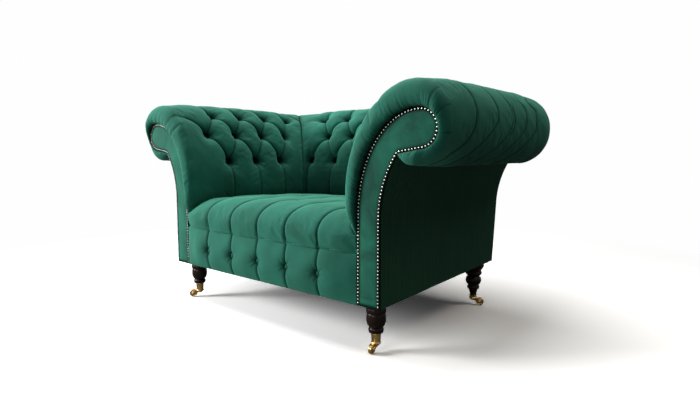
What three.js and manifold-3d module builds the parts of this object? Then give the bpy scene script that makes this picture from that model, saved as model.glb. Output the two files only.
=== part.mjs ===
// Deep-buttoned chesterfield armchair in velvet, on turned legs with brass cup castors.
// Millimetres, +Z up. Every piece is worked out from the plane of the arm facings (y = 0), with the
// back of the chair along +Y and the middle of the seat at x = 0, and the whole is then moved so that
// the origin lies on the floor, under the middle of the chair.
import * as THREE from 'three';
import * as BufferGeometryUtils from 'three/addons/utils/BufferGeometryUtils.js';
import Module from 'manifold-3d';

const wasm = await Module();
wasm.setup();

// Base
const base_half_width = 507;
const base_depth = 718;
const base_front_height = 147;
const base_rear_height = 172;
const panel_thickness = 3;
const back_lean_share = 0.116;

// Arm facing and its scroll
const facing_width = 79;
const facing_thickness = 6;
const facing_curve_height = 410;
const scroll_reach = 127;
const scroll_height = 647;
const scroll_radius = 53;
const flare_height = 400;
const flare_radius = 317;
const scroll_underside_height = 583;
const back_core_depth = 84;
const back_scroll_reach = 85;
const scroll_corner_radius = 185;
const core_corner_radius = 18;

// Padding
const padding_foot_height = 349;
const padding_foot_thickness = 8;
const wall_foot_height = 440;
const wall_padding = 54;
const top_padding = 84;
const outer_padding = 39;
const underside_padding = 47;
const roll_half_width = 110;
const roll_corner_radius = 167;
const roll_corner_drop = 10;
const wall_corner_radius = 42;
const tip_corner_radius = 4;
const tip_height = 572;
const border_bulge = 25;
const border_start = 20;
const border_foot = 4;
const front_draw_in = 11;
const front_draw_reach = 130;

// Buttoning
const button_pitch = 140;
const first_button_y = 117;
const arm_pitches = 3;
const pit_depth = 27;
const pit_spread = 15;
const pleat_depth = 13;
const pleat_spread = 13;
const button_radius = 10;
const button_crown = 6;
const button_sink = 2;
const button_lift = 6;
const button_sides = 6;

// Seat and front border
const seat_height = 416;
const seat_bottom = 297;
const seat_roll_depth = 108;
const seat_bulge = 18;
const seat_bulge_height = 340;
const seat_back_drop = 20;
const seat_side_drop = 14;
const seat_side_flat_share = 4;
const seat_pleat_depth = 7;
const front_border_top = 295.5;
const front_border_bulge = 24;
const front_border_round_share = 0.6;
const front_button_height = 220;
const front_pit_depth = 13;
const front_pit_spread = 16;

// Nails
const nail_pitch = 10.2;
const nail_radius = 3.4;
const nail_rise = 2.2;
const nail_inset = 4;
const nail_waist_share = 0.2;

// Frame
const board_thickness = 25;
const rail_thickness = 26;
const rail_top = 285;
const stuff_rail_height = 40;
const stuff_rail_bottom = 352;
const post_width = 42;
const post_depth = 40;
const post_top = 572;
const post_top_rise = 14;
const block_reach = 27;
const front_block_depth = 60;
const rear_block_depth = 48;
const block_height = 62;
const frame_lift = 2.3;
const lining_thickness = 2;
const lining_seam_share = 0.002;
const spring_wire = 4;
const spring_half_width = 24;
const spring_waves = 8;
const spring_turn_share = 0.3;
const tie_half = 1.5;
const tie_shares = [0.15, 0.5, 0.85];
const cover_lift = 1;
const cover_thickness = 1;

// Legs and castors
const leg_side_inset = 56;
const front_leg_y = 60;
const rear_leg_inset = 40;
const leg_notch_half = 42;
const bolt_radius = 4;
const bolt_above = 40;
const bolt_below = 44;
const spigot_radius = 21;
const bulb_radius = 29.5;
const bulb_height = 97;
const wheel_radius = 15;
const wheel_width = 11;
const castor_trail = 26;
const axle_radius = 2;
const cheek_thickness = 2.6;
const crown_radius = 10.5;
const crown_thickness = 5;
const cup_floor = 4.5;
const cup_bottom = 24.5;
const front_cup_top = 57;
const rear_cup_top = 39;
const stud_radius = 3;
const cup_foot_radius = 14.8;
const cup_neck_radius = 13.4;
const cup_inner_radius = 11.2;
const cup_wall = 1.2;
const front_cup_radius = 15.8;
const rear_cup_inner = 10.6;
const turned_sides = 12;

// Clearances and overruns
const seat_gap = 0.3;
const soft_gap = 0.6;
const bore_clearance = 0.4;
const stud_clearance = 0.4;
const axle_clearance = 0.3;
const wheel_clearance = 0.4;
const overrun = 4;

// What the sizes give
const arm_inner = base_half_width - facing_width;
const scroll_x = base_half_width + scroll_reach;
const scroll_top = scroll_height + scroll_radius;
const back_inner = base_depth - back_core_depth;
const back_scroll_y = base_depth + back_scroll_reach;
const roll_top = scroll_top + top_padding;
const roll_bottom = scroll_height - scroll_radius - underside_padding;
const roll_middle = (roll_top + roll_bottom) / 2;
const roll_half_height = (roll_top - roll_bottom) / 2;
const arm_outermost = scroll_x + scroll_radius + outer_padding;
const back_outermost = back_scroll_y + scroll_radius + outer_padding;
const leg_x = base_half_width - leg_side_inset;
const rear_leg_y = base_depth - rear_leg_inset;
const half_pitch = button_pitch / 2;
const turn_y = first_button_y + arm_pitches * button_pitch;
const facing_y = (border_bulge - back_outermost) / 2;
const right_angle = Math.PI / 2;
const tiny = 0.01;
const tiny_share = 1e-4;

const colours = {
  velvet: 0x1f6b57, shade: 0x17483c, hessian: 0xb49a6c, beech: 0xc9a66f,
  leg: 0x1c120e, brass: 0xb08a3e, nail: 0x9a958a, steel: 0x8b8f92, cloth: 0x26292a,
};
const finish = (color, roughness, metalness = 0) => (
  new THREE.MeshStandardMaterial({ color, roughness, metalness })
);
const velvet = () => finish(colours.velvet, 0.85);
const shaded_velvet = () => finish(colours.shade, 0.9);
const beech = () => finish(colours.beech, 0.7);
const hessian = () => finish(colours.hessian, 0.95);
const dark_cloth = () => finish(colours.cloth, 0.95);
const dark_wood = () => finish(colours.leg, 0.3);
const brass = () => finish(colours.brass, 0.25, 1);
const pewter = () => finish(colours.nail, 0.35, 1);
const steel = () => finish(colours.steel, 0.4, 1);

const armchair = new THREE.Group();
const chair = new THREE.Group();
chair.position.y = facing_y;
armchair.add(chair);

function add(name, geometry, material, parent = chair) {
  const mesh = new THREE.Mesh(geometry, material);
  mesh.name = name;
  parent.add(mesh);
  return mesh;
}

// Joins and cuts of closed geometries.
function to_manifold(geometry) {
  const copy = geometry.clone();
  copy.deleteAttribute('uv');
  copy.deleteAttribute('normal');
  const merged = BufferGeometryUtils.mergeVertices(copy);
  return new wasm.Manifold(new wasm.Mesh({
    numProp: 3,
    vertProperties: new Float32Array(merged.attributes.position.array),
    triVerts: new Uint32Array(merged.index.array),
  }));
}

function to_geometry(manifold) {
  const mesh = manifold.getMesh();
  const geometry = new THREE.BufferGeometry();
  geometry.setAttribute('position', new THREE.BufferAttribute(mesh.vertProperties, 3));
  geometry.setIndex(new THREE.BufferAttribute(mesh.triVerts, 1));
  return geometry.toNonIndexed();
}

function united(geometries) {
  return to_geometry(geometries.map(to_manifold).reduce((sum, next) => sum.add(next)));
}

// What a cut leaves is the largest piece: slivers that it sets free are dropped.
function cut(geometry, tools) {
  const rest = tools.map(to_manifold).reduce((left, tool) => left.subtract(tool), to_manifold(geometry));
  const pieces = rest.decompose().sort((one, other) => other.volume() - one.volume());
  return to_geometry(pieces[0]);
}

const sides = [['left', -1], ['right', 1]];

// A mirror image across the middle of the chair, with its faces still pointing out.
function mirrored(geometry) {
  const copy = geometry.index ? geometry.toNonIndexed() : geometry.clone();
  const place = copy.attributes.position;
  const flipped = new Float32Array(place.count * 3);
  for (let corner = 0; corner < place.count; corner += 3) {
    [0, 2, 1].forEach((from, to) => {
      flipped[(corner + to) * 3] = -place.getX(corner + from);
      flipped[(corner + to) * 3 + 1] = place.getY(corner + from);
      flipped[(corner + to) * 3 + 2] = place.getZ(corner + from);
    });
  }
  const result = new THREE.BufferGeometry();
  result.setAttribute('position', new THREE.BufferAttribute(flipped, 3));
  return result;
}

function on_side(geometry, sign) {
  return sign > 0 ? geometry : mirrored(geometry);
}

// An outline pulled along one axis. The outline's two numbers are the other two axes, in X, Y, Z order.
function prism(axis, outline, from, to) {
  const shape = new THREE.Shape(outline.map(([a, b]) => new THREE.Vector2(a, b)));
  const geometry = new THREE.ExtrudeGeometry(shape, { depth: to - from, bevelEnabled: false, steps: 1 });
  const unit = [new THREE.Vector3(1, 0, 0), new THREE.Vector3(0, 1, 0), new THREE.Vector3(0, 0, 1)];
  const turn = new THREE.Matrix4();
  if (axis === 'x') {
    turn.makeBasis(unit[1], unit[2], unit[0]).setPosition(from, 0, 0);
  } else if (axis === 'y') {
    turn.makeBasis(unit[0], unit[2], unit[1].negate()).setPosition(0, to, 0);
  } else {
    turn.setPosition(0, 0, from);
  }
  return geometry.applyMatrix4(turn);
}

function block(x0, x1, y0, y1, z0, z1) {
  return prism('z', [[x0, y0], [x1, y0], [x1, y1], [x0, y1]], z0, z1);
}

// Triangles of the band between two lines of points that start and end together. It is filled from its lower
// end, so that the mating ends of two pads get the same facets.
function band(one, other, triangles) {
  const falling = one[0].z > one[one.length - 1].z;
  const [low, high] = falling ? [[...one].reverse(), [...other].reverse()] : [one, other];
  const reach = (line) => {
    const along = [0];
    for (let i = 1; i < line.length; i += 1) {
      along.push(along[i - 1] + line[i].distanceTo(line[i - 1]));
    }
    return along.map((length) => length / along[along.length - 1]);
  };
  const [a, b] = [reach(low), reach(high)];
  const push = (p, q, r) => triangles.push(falling ? [q, p, r] : [p, q, r]);
  let [i, k] = [0, 0];
  while (i < low.length - 1 || k < high.length - 1) {
    if (k === high.length - 1 || (i < low.length - 1 && a[i + 1] <= b[k + 1])) {
      push(low[i + 1], low[i], high[k]);
      i += 1;
    } else {
      push(high[k], high[k + 1], low[i]);
      k += 1;
    }
  }
}

// Triangles of a grid of points. Where depths are given, the shared edge of each square follows its valley.
function sheet(grid, triangles, depths) {
  for (let i = 0; i < grid.length - 1; i += 1) {
    for (let j = 0; j < grid[i].length - 1; j += 1) {
      const [p, q, r, s] = [grid[i][j], grid[i][j + 1], grid[i + 1][j + 1], grid[i + 1][j]];
      const rising = depths && depths[i][j] + depths[i + 1][j + 1] > depths[i][j + 1] + depths[i + 1][j];
      if (rising) {
        triangles.push([p, q, r], [p, r, s]);
      } else {
        triangles.push([p, q, s], [s, q, r]);
      }
    }
  }
}

function solid(triangles) {
  const facets = triangles.filter(([a, b, c]) => a !== b && b !== c && c !== a);
  const volume = facets.reduce((sum, [a, b, c]) => sum + a.dot(new THREE.Vector3().crossVectors(b, c)), 0);
  const points = facets.flatMap(([a, b, c]) => (volume > 0 ? [a, b, c] : [a, c, b]));
  return new THREE.BufferGeometry().setFromPoints(points);
}

// A padded piece: a front sheet and a plainer hidden sheet behind it, closed round their edges.
function padded(front, hidden, depths) {
  const triangles = [];
  sheet(front, triangles, depths);
  const back = [];
  sheet(hidden, back);
  back.forEach(([a, b, c]) => triangles.push([a, c, b]));
  const edge = (grid) => {
    const last = grid.map((row) => row[row.length - 1]);
    const first = grid.map((row) => row[0]).reverse();
    return [grid[0], last, [...grid[grid.length - 1]].reverse(), first];
  };
  const [front_edges, hidden_edges] = [edge(front), edge(hidden)];
  front_edges.forEach((line, side) => band(line, hidden_edges[side], triangles));
  return solid(triangles);
}

// The cross-section of arm and back runs through four stretches, station 0 to 4: the foot behind the seat,
// the wall and its turn to the top, the roll over to its underside, and the return to the outside panel.
// Each function gives the sizes of one level: how far out it lies on the arm and on the back, and its height.
function core_level(station, inset = 0) {
  const wall = { radius: core_corner_radius, out: arm_inner + inset, back: back_inner + inset };
  if (station <= 1) {
    return { ...wall, z: padding_foot_height + (facing_curve_height - padding_foot_height) * station };
  }
  if (station <= 2) {
    const angle = (station - 1) * right_angle;
    const z = facing_curve_height + (scroll_top - facing_curve_height - inset) * Math.sin(angle);
    return {
      out: scroll_x - (scroll_x - arm_inner - inset) * Math.cos(angle),
      back: back_scroll_y - (back_scroll_y - back_inner - inset) * Math.cos(angle),
      radius: scroll_corner_radius - (scroll_corner_radius - core_corner_radius) * Math.cos(angle),
      z,
    };
  }
  if (station <= 3) {
    const angle = (station - 2) * 2 * right_angle;
    const out = (scroll_radius - inset) * Math.sin(angle);
    return {
      out: scroll_x + out,
      back: back_scroll_y + out,
      radius: scroll_corner_radius + out,
      z: scroll_height + (scroll_radius - inset) * Math.cos(angle),
    };
  }
  const share = station - 3;
  const tip = scroll_underside_height + inset;
  const bottom = scroll_height - scroll_radius + inset;
  const corner_out = flare_out(tip) - inset;
  const corner_back = lean_y(tip) + soft_gap;
  return {
    out: scroll_x + (corner_out - scroll_x) * share,
    back: back_scroll_y + (corner_back - back_scroll_y) * share,
    radius: scroll_corner_radius + (tip_corner_radius - scroll_corner_radius) * share,
    z: bottom + (tip - bottom) * share,
    seam: scroll_x - back_scroll_y,
  };
}

// The outside arm panel stands straight and then flares out under the roll. The outside back leans.
function flare_out(z) {
  const rise = Math.max(0, z - flare_height);
  return base_half_width + flare_radius - Math.sqrt(flare_radius ** 2 - rise ** 2);
}

function lean_y(z) {
  return base_depth + (z - base_rear_height) * back_lean_share;
}

function base_bottom(y) {
  return base_front_height + (base_rear_height - base_front_height) * (y / base_depth);
}

const roll_x = arm_outermost - roll_half_width;
const back_roll_y = back_outermost - roll_half_width;
const wall_x = arm_inner - wall_padding;
const wall_y = back_inner - wall_padding;

function padding_level(station) {
  if (station <= 1) {
    const foot = (wall_padding - padding_foot_thickness) * (1 - station);
    return {
      out: wall_x + foot,
      back: wall_y + foot,
      radius: wall_corner_radius,
      z: padding_foot_height + (wall_foot_height - padding_foot_height) * station,
    };
  }
  if (station <= 2) {
    const angle = (station - 1) * right_angle;
    return {
      out: roll_x - (roll_x - wall_x) * Math.cos(angle),
      back: back_roll_y - (back_roll_y - wall_y) * Math.cos(angle),
      radius: roll_corner_radius - (roll_corner_radius - wall_corner_radius) * Math.cos(angle),
      z: wall_foot_height + (roll_top - wall_foot_height) * Math.sin(angle),
    };
  }
  if (station <= 3) {
    const angle = (station - 2) * 2 * right_angle;
    const out = roll_half_width * Math.sin(angle);
    return {
      out: roll_x + out,
      back: back_roll_y + out,
      radius: roll_corner_radius + out,
      z: roll_middle + roll_half_height * Math.cos(angle),
    };
  }
  const share = station - 3;
  return {
    out: roll_x + (flare_out(tip_height) + soft_gap - roll_x) * share,
    back: back_roll_y + (lean_y(tip_height) + soft_gap - back_roll_y) * share,
    radius: roll_corner_radius + (tip_corner_radius - roll_corner_radius) * share,
    z: roll_bottom + (tip_height - roll_bottom) * share,
    seam: roll_x - back_roll_y,
  };
}

// Where a level lies in plan. On the arm, run is y up to the last regular button, and on the back it is x.
// Past the last button the line and the corner are shared out evenly up to the seam between the two.
const arm_mitre = turn_y + button_pitch;
const back_mitre = 3 * button_pitch;
const back_turn = 2.5 * button_pitch;
const corner_steps = 5;
const corner_share = 1 - 1 / corner_steps;

// A point of the corner, by how far it lies past the end of the arm's straight line.
function round_corner(level, turn) {
  const angle = Math.min(right_angle, Math.max(0, turn / level.radius));
  const out = new THREE.Vector3(Math.cos(angle), Math.sin(angle), 0);
  const point = new THREE.Vector3(level.out - level.radius, level.back - level.radius, level.z);
  const rest = turn - angle * level.radius;
  point.addScaledVector(out, level.radius).add(new THREE.Vector3(Math.min(0, -rest), Math.min(0, rest), 0));
  return { point, out };
}

// The seam stands in one upright plane from the roll down, so that it crosses the underside squarely. How far
// it lies from the middle of the corner, towards the arm:
function seam_shift(level) {
  const shift = (level.seam ?? level.out - level.back) - level.out + level.back;
  const bent = THREE.MathUtils.clamp(shift, -level.radius, level.radius);
  const angle = Math.acos(bent / level.radius / Math.SQRT2) - right_angle / 2;
  return level.radius * (right_angle / 2 - angle) + shift - bent;
}

function arm_place(level, run, gap = 0) {
  const straight = level.back - level.radius;
  const last = straight - turn_y + level.radius * right_angle / 2 - seam_shift(level);
  const past = Math.max(0, run - turn_y) / (arm_mitre - turn_y);
  const place = round_corner(level, Math.min(run, turn_y) - straight + last * past);
  if (past >= 1) {
    place.point.add(new THREE.Vector3(gap, -gap, 0));
  }
  return { ...place, past };
}

function back_place(level, run, gap = 0) {
  const side = Math.sign(run);
  const end = level.out - level.radius + level.radius * right_angle;
  const shift = seam_shift(level);
  const last = end - back_turn - level.radius * right_angle / 2 + Math.min(0, shift);
  const past = Math.max(0, Math.abs(run) - back_turn) / (back_mitre - back_turn);
  const bent = shift > tiny ? Math.min(1, past / corner_share) : past;
  const over = shift > tiny ? Math.max(0, past - corner_share) / (1 - corner_share) : 0;
  const place = round_corner(level, end - Math.min(Math.abs(run), back_turn) - last * bent - shift * over);
  if (past >= 1) {
    place.point.add(new THREE.Vector3(-gap, gap, 0));
  }
  place.point.x *= side || 1;
  place.out.x *= side || 1;
  return { ...place, past };
}

// Stations of the rows of the padding. The three rows of buttons lie on the turn from wall to top.
const row_shares = { a: 0.225, b: 0.475, c: 0.735 };
const row_a = 1 + row_shares.a;
const row_b = 1 + row_shares.b;
const row_c = 1 + row_shares.c;
const half_steps = 3;

function spread(from, to, steps) {
  return Array.from({ length: steps }, (_, i) => from + (to - from) * (i + 1) / steps);
}

const stations = [
  0, ...spread(0, 1, 2), ...spread(1, row_a, 2), ...spread(row_a, row_b, half_steps),
  ...spread(row_b, row_c, half_steps), ...spread(row_c, 2, 1), ...spread(2, 3, 4), 3.5, 4,
];
const lattice_step = half_pitch / half_steps;
const arm_runs = [
  border_start, ...spread(border_start, first_button_y, 4),
  ...spread(first_button_y, turn_y, (turn_y - first_button_y) / lattice_step),
  ...spread(turn_y, arm_mitre, 2 * half_steps),
];
const back_half = [
  ...spread(0, back_turn, back_turn / lattice_step), ...spread(back_turn, back_mitre, corner_steps),
];
const back_runs = [...back_half.map((run) => -run).reverse(), 0, ...back_half];

// How high each station lies along the padding, measured over its surface on the arm.
const last_station = 4;
const pleat_end_station = 3.5;
const steps_per_station = 40;
function surface_height(station) {
  let length = 0;
  const steps = Math.max(1, Math.round(station * steps_per_station));
  for (let i = 0; i < steps; i += 1) {
    const [low, high] = [padding_level(station * i / steps), padding_level(station * (i + 1) / steps)];
    length += Math.hypot(high.out - low.out, high.z - low.z);
  }
  return length;
}

const height_a = surface_height(row_a);
const height_b = surface_height(row_b);
const height_c = surface_height(row_c);
const height_end = surface_height(pleat_end_station);

// Buttons and the pleats between them, on the padding laid flat: run along it and height up it.
function quilting(low_runs, middle_runs, high_runs, ends) {
  const buttons = [
    ...low_runs.map((run) => [run, height_a]),
    ...middle_runs.map((run) => [run, height_b]),
    ...high_runs.map((run) => [run, height_c]),
  ];
  const near = (one, other) => Math.abs(one - other) < half_pitch + tiny;
  const pleats = [
    ...low_runs.map((run) => [run, 0, run, height_a]),
    ...high_runs.map((run) => [run, height_c, run, height_end]),
    ...ends.map((run) => [run, 0, run, height_end]),
  ];
  [[low_runs, height_a], [high_runs, height_c]].forEach(([runs, height]) => {
    middle_runs.forEach((middle) => {
      runs.filter((run) => near(run, middle)).forEach((run) => pleats.push([middle, height_b, run, height]));
    });
  });
  return { buttons, pleats };
}

function distance_to(run, height, [run_0, height_0, run_1, height_1]) {
  const [a, b] = [run_1 - run_0, height_1 - height_0];
  const share = ((run - run_0) * a + (height - height_0) * b) / (a * a + b * b);
  const held = Math.min(1, Math.max(0, share));
  return Math.hypot(run - run_0 - a * held, height - height_0 - b * held);
}

// How far the buttons and pleats draw the padding in at one place.
function drawn_in(run, height, { buttons, pleats }) {
  const puff = pleats.reduce((rest, pleat) => (
    rest * (1 - Math.exp(-distance_to(run, height, pleat) / pleat_spread))
  ), 1);
  const pit = buttons.reduce((most, [at_run, at_height]) => (
    Math.max(most, Math.exp(-Math.hypot(run - at_run, height - at_height) / pit_spread))
  ), 0);
  return pleat_depth * (1 - puff) + (pit_depth - pleat_depth) * pit;
}

const steps_from = (first, count) => Array.from({ length: count }, (_, i) => first + i * button_pitch);
const arm_quilting = quilting(
  steps_from(first_button_y + half_pitch, arm_pitches),
  steps_from(first_button_y, arm_pitches + 1),
  steps_from(first_button_y + half_pitch, arm_pitches + 1),
  [arm_mitre],
);
const back_quilting = quilting(
  steps_from(-back_turn, 6),
  steps_from(-back_turn + half_pitch, 5),
  steps_from(-back_turn, 6),
  [-back_mitre, back_mitre],
);

// One point of the padding's skin: the plain shape, drawn in along its own normal. Towards the seam of the
// corner the top of the roll sinks a little.
function skin(place, station, run, depth, gap) {
  const low = place(padding_level(Math.max(0, station - tiny)), run);
  const high = place(padding_level(Math.min(last_station, station + tiny)), run);
  const here = place(padding_level(station), run, gap);
  const along = high.point.sub(low.point);
  const normal = here.out.clone().multiplyScalar(-along.z);
  normal.z = along.dot(here.out);
  normal.normalize();
  const point = here.point.clone().addScaledVector(normal, -depth);
  const near_top = THREE.MathUtils.clamp((here.point.z - roll_bottom) / (roll_top - roll_bottom), 0, 1);
  point.z -= roll_corner_drop * THREE.MathUtils.smoothstep(here.past, 0, 1) * near_top;
  return { point, normal };
}

function padding(place, runs, quilt, gap, front_depth) {
  const skins = stations.map((station) => {
    const height = surface_height(station);
    const edge = Math.max(0, Math.min(1, height / wall_padding, (height_end - height) / wall_padding));
    return runs.map((run) => {
      const depth = (drawn_in(run, height, quilt) + front_depth(run)) * edge;
      return { depth, ...skin(place, station, run, depth, gap) };
    });
  });
  return skins;
}

// The drawn-in front end of an arm, and the border that wraps forward from it to the facing's nails.
function front_draw(run) {
  const share = Math.min(1, Math.max(0, (run - border_start) / front_draw_reach));
  return front_draw_in * (1 - share) ** 2;
}

const border_steps = 4;
const hidden_front = facing_thickness + soft_gap;
const mitre_gap = seat_gap / 2;

const arm_skins = padding(arm_place, arm_runs, arm_quilting, mitre_gap, front_draw);
const arm_front = arm_skins.map((row, i) => {
  const core = core_level(stations[i], -seat_gap);
  const nails = new THREE.Vector3(core.out, border_foot, core.z);
  const start = row[0].point;
  const width = Math.hypot(start.x - nails.x, start.z - nails.z);
  const fullness = Math.min(1, width / wall_padding);
  const middle = (border_start + border_foot) / 2;
  const border = [nails];
  for (let step = 1; step < border_steps; step += 1) {
    const angle = 2 * right_angle * (1 - step / border_steps);
    const point = start.clone().lerp(nails, (1 - Math.cos(angle)) / 2);
    point.y -= (middle + border_bulge) * fullness * Math.sin(angle);
    border.push(point);
  }
  return [...border, ...row.map((place) => place.point)];
});
const border_depths = Array(border_steps).fill(0);
const arm_depths = arm_skins.map((row) => [...border_depths, ...row.map((place) => place.depth)]);
const hidden_runs = [hidden_front, turn_y, ...spread(turn_y, arm_mitre, 3)];
const arm_hidden = stations.map((station) => (
  hidden_runs.map((run) => arm_place(core_level(station, -seat_gap), run, mitre_gap).point)
));
const inside_arm = padded(arm_front, arm_hidden, arm_depths);

const back_skins = padding(back_place, back_runs, back_quilting, mitre_gap, () => 0);
const hidden_half = [back_turn, ...spread(back_turn, back_mitre, 2)];
const hidden_back_runs = [...hidden_half.map((run) => -run).reverse(), ...hidden_half];
const back_hidden = stations.map((station) => (
  hidden_back_runs.map((run) => back_place(core_level(station, -seat_gap), run, mitre_gap).point)
));
const inside_back = padded(
  back_skins.map((row) => row.map((place) => place.point)),
  back_hidden,
  back_skins.map((row) => row.map((place) => place.depth)),
);

// A covered button: a shallow dome on a tapered underside, drawn down into its pit and sewn to the cloth.
function button(pit, normal, lift) {
  const profile = [
    [0, -button_sink], [button_radius, lift], [0, lift + button_crown],
  ].map(([radius, height]) => new THREE.Vector2(radius, height));
  const geometry = new THREE.LatheGeometry(profile, button_sides);
  const turn = new THREE.Quaternion().setFromUnitVectors(new THREE.Vector3(0, 1, 0), normal);
  return geometry.applyQuaternion(turn).translate(pit.x, pit.y, pit.z);
}

function buttons_on(skins, runs, { buttons }) {
  return buttons.map(([run, height]) => {
    const station = [row_a, row_b, row_c][[height_a, height_b, height_c].indexOf(height)];
    const i = stations.findIndex((value) => Math.abs(value - station) < tiny);
    const j = runs.findIndex((value) => Math.abs(value - run) < tiny);
    return button(skins[i][j].point, skins[i][j].normal, button_lift);
  });
}

// Outside panels: card covered in velvet. The arm panels flare out under the roll and stop at the back panel,
// and the padding yields round their upper edges.
const panel_top = tip_height - 3 * soft_gap;
const flare_heights = [flare_height, ...spread(flare_height, panel_top, 4)];

const panel_heights = [base_rear_height, ...flare_heights];

function arm_panel(inset, room = 0) {
  return panel_heights.map((z, row) => {
    const rear = lean_y(z) - panel_thickness - seat_gap;
    return [facing_thickness + seat_gap, rear + room].map((y) => (
      new THREE.Vector3(flare_out(z) - inset, y, row ? z + room : base_bottom(y))
    ));
  });
}

function back_panel(inset, room = 0) {
  return panel_heights.map((z) => (
    [-1, 1].map((sign) => new THREE.Vector3(sign * (flare_out(z) + room), lean_y(z) - inset, z + room))
  ));
}

const outside_arm = padded(arm_panel(0), arm_panel(panel_thickness));
sides.forEach(([side, sign]) => add(`outside_arm_${side}`, on_side(outside_arm, sign), shaded_velvet()));
add('outside_back', padded(back_panel(0), back_panel(panel_thickness)), shaded_velvet());

const arm_room = padded(arm_panel(-seat_gap, seat_gap), arm_panel(panel_thickness + seat_gap, seat_gap));
const back_room = padded(back_panel(-seat_gap, seat_gap), back_panel(panel_thickness + seat_gap, seat_gap));
const buttoned_arm = cut(
  united([inside_arm, ...buttons_on(arm_skins, arm_runs, arm_quilting)]),
  [arm_room, back_room],
);
sides.forEach(([side, sign]) => add(`inside_arm_${side}`, on_side(buttoned_arm, sign), velvet()));
add('inside_back', cut(
  united([inside_back, ...buttons_on(back_skins, back_runs, back_quilting)]),
  [arm_room, mirrored(arm_room), back_room],
), velvet());

// Seat and front border share their pleats, which stand at whole pitches from the middle.
const pleat_reach = 2 * button_pitch;
const channel_xs = spread(-pleat_reach, pleat_reach, 4 * half_steps);
const inner_xs = [-pleat_reach, ...channel_xs];

function channel_depth(x, depth) {
  const across = Math.abs(Math.sin(Math.PI * x / button_pitch));
  const share = Math.abs(x) > pleat_reach ? Math.min(1, (Math.abs(x) - pleat_reach) / half_pitch) : across;
  return depth * (1 - Math.sqrt(share));
}

function across(half_width) {
  const end_xs = spread(pleat_reach, half_width, 3);
  return [...end_xs.map((x) => -x).reverse(), ...inner_xs, ...end_xs];
}

// The seat's sides and back follow the foot of the padding of arms and back, which rests against them.
function foot_thickness(z) {
  const rise = wall_foot_height - padding_foot_height;
  const share = THREE.MathUtils.clamp((z - padding_foot_height) / rise, 0, 1);
  const foot = z < padding_foot_height ? 0 : padding_foot_thickness;
  return soft_gap + foot + (wall_padding - padding_foot_thickness) * share;
}

const seat_back_y = back_inner - foot_thickness(seat_height - seat_back_drop);
const seat_corner_y = seat_back_y - wall_corner_radius;

function seat_half_width(z, y = 0) {
  const past = Math.min(wall_corner_radius, Math.max(0, y - seat_corner_y));
  const corner = wall_corner_radius - Math.sqrt(wall_corner_radius ** 2 - past ** 2);
  return arm_inner - foot_thickness(z) - corner;
}

const seat_rise = seat_height - seat_bulge_height;
const seat_top_y = seat_roll_depth - seat_bulge;
const seat_top_ys = [
  ...spread(seat_top_y, seat_corner_y, 4),
  ...spread(0, right_angle, 3).map((angle) => seat_corner_y + wall_corner_radius * Math.sin(angle)),
];
const seat_profile = [
  ...[0, 0.5].map((share) => {
    const angle = share * right_angle;
    return {
      y: -seat_bulge * Math.sin(angle),
      z: seat_bottom + (seat_bulge_height - seat_bottom) * (1 - Math.cos(angle)),
      ny: -1, nz: 0,
    };
  }),
  ...[0, ...spread(0, 1, 5)].map((share) => {
    const angle = share * right_angle;
    return {
      y: seat_roll_depth * (1 - Math.cos(angle)) - seat_bulge,
      z: seat_bulge_height + seat_rise * Math.sin(angle),
      ny: -Math.cos(angle), nz: Math.sin(angle),
    };
  }),
  ...seat_top_ys.map((y) => ({
    y, z: seat_height - seat_back_drop * ((y - seat_top_y) / (seat_back_y - seat_top_y)) ** 2, ny: 0, nz: 1,
  })),
];
const seat_front = seat_profile.map(({ y, z, ny, nz }) => {
  const half_width = seat_half_width(z - seat_side_drop * nz, y);
  return across(half_width).map((x) => {
    const side = Math.abs(x) / half_width;
    const depth = channel_depth(x, seat_pleat_depth) + seat_side_drop * nz * side ** seat_side_flat_share;
    return new THREE.Vector3(x, y - depth * ny, z - depth * nz);
  });
});
const seat_side = seat_half_width(seat_height - seat_side_drop);
const seat_hidden = [
  [facing_thickness, seat_half_width(seat_bottom)], [seat_roll_depth, seat_side], [seat_corner_y, seat_side],
  [seat_back_y, seat_side - wall_corner_radius],
].map(([y, x]) => [-x, x].map((side_x) => new THREE.Vector3(side_x, y, seat_bottom)));
add('seat', padded(seat_front, seat_hidden), velvet());

const border_rise = front_border_top - base_front_height;
const border_half_width = arm_inner - soft_gap;
const button_share = (front_button_height - base_front_height) / border_rise;
const border_shares = [0, ...spread(0, button_share, 3), ...spread(button_share, 1, 3)];
const border_front = border_shares.map((share) => (
  across(border_half_width).map((x) => {
    const z = base_front_height + border_rise * share;
    const bulge = front_border_bulge * Math.sin(Math.PI * share) ** front_border_round_share;
    const column = Math.round(x / button_pitch) * button_pitch;
    const nearest = THREE.MathUtils.clamp(column, -pleat_reach, pleat_reach);
    const away = Math.hypot(x - nearest, z - front_button_height);
    const pit = front_pit_depth * Math.exp(-away / front_pit_spread);
    const depth = channel_depth(x, seat_pleat_depth) * Math.min(1, bulge / seat_pleat_depth);
    return new THREE.Vector3(x, Math.min(0, depth + pit - bulge), z);
  })
));
const border_hidden = [base_front_height, front_border_top].map((z) => (
  [-border_half_width, border_half_width].map((x) => new THREE.Vector3(x, facing_thickness, z))
));
const border_button_row = border_front[border_shares.indexOf(button_share)];
const border_buttons = [-2, -1, 0, 1, 2].map((place) => {
  const pit = border_button_row.find((point) => Math.abs(point.x - place * button_pitch) < tiny);
  return button(pit, new THREE.Vector3(0, -1, 0), button_lift / 2);
});
add('front_border', united([padded(border_front, border_hidden), ...border_buttons]), velvet());

// Arm facings: flat boards covered in velvet, edged all round with a strip of dome nails.
const falling_heights = [...flare_heights].reverse();

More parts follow.
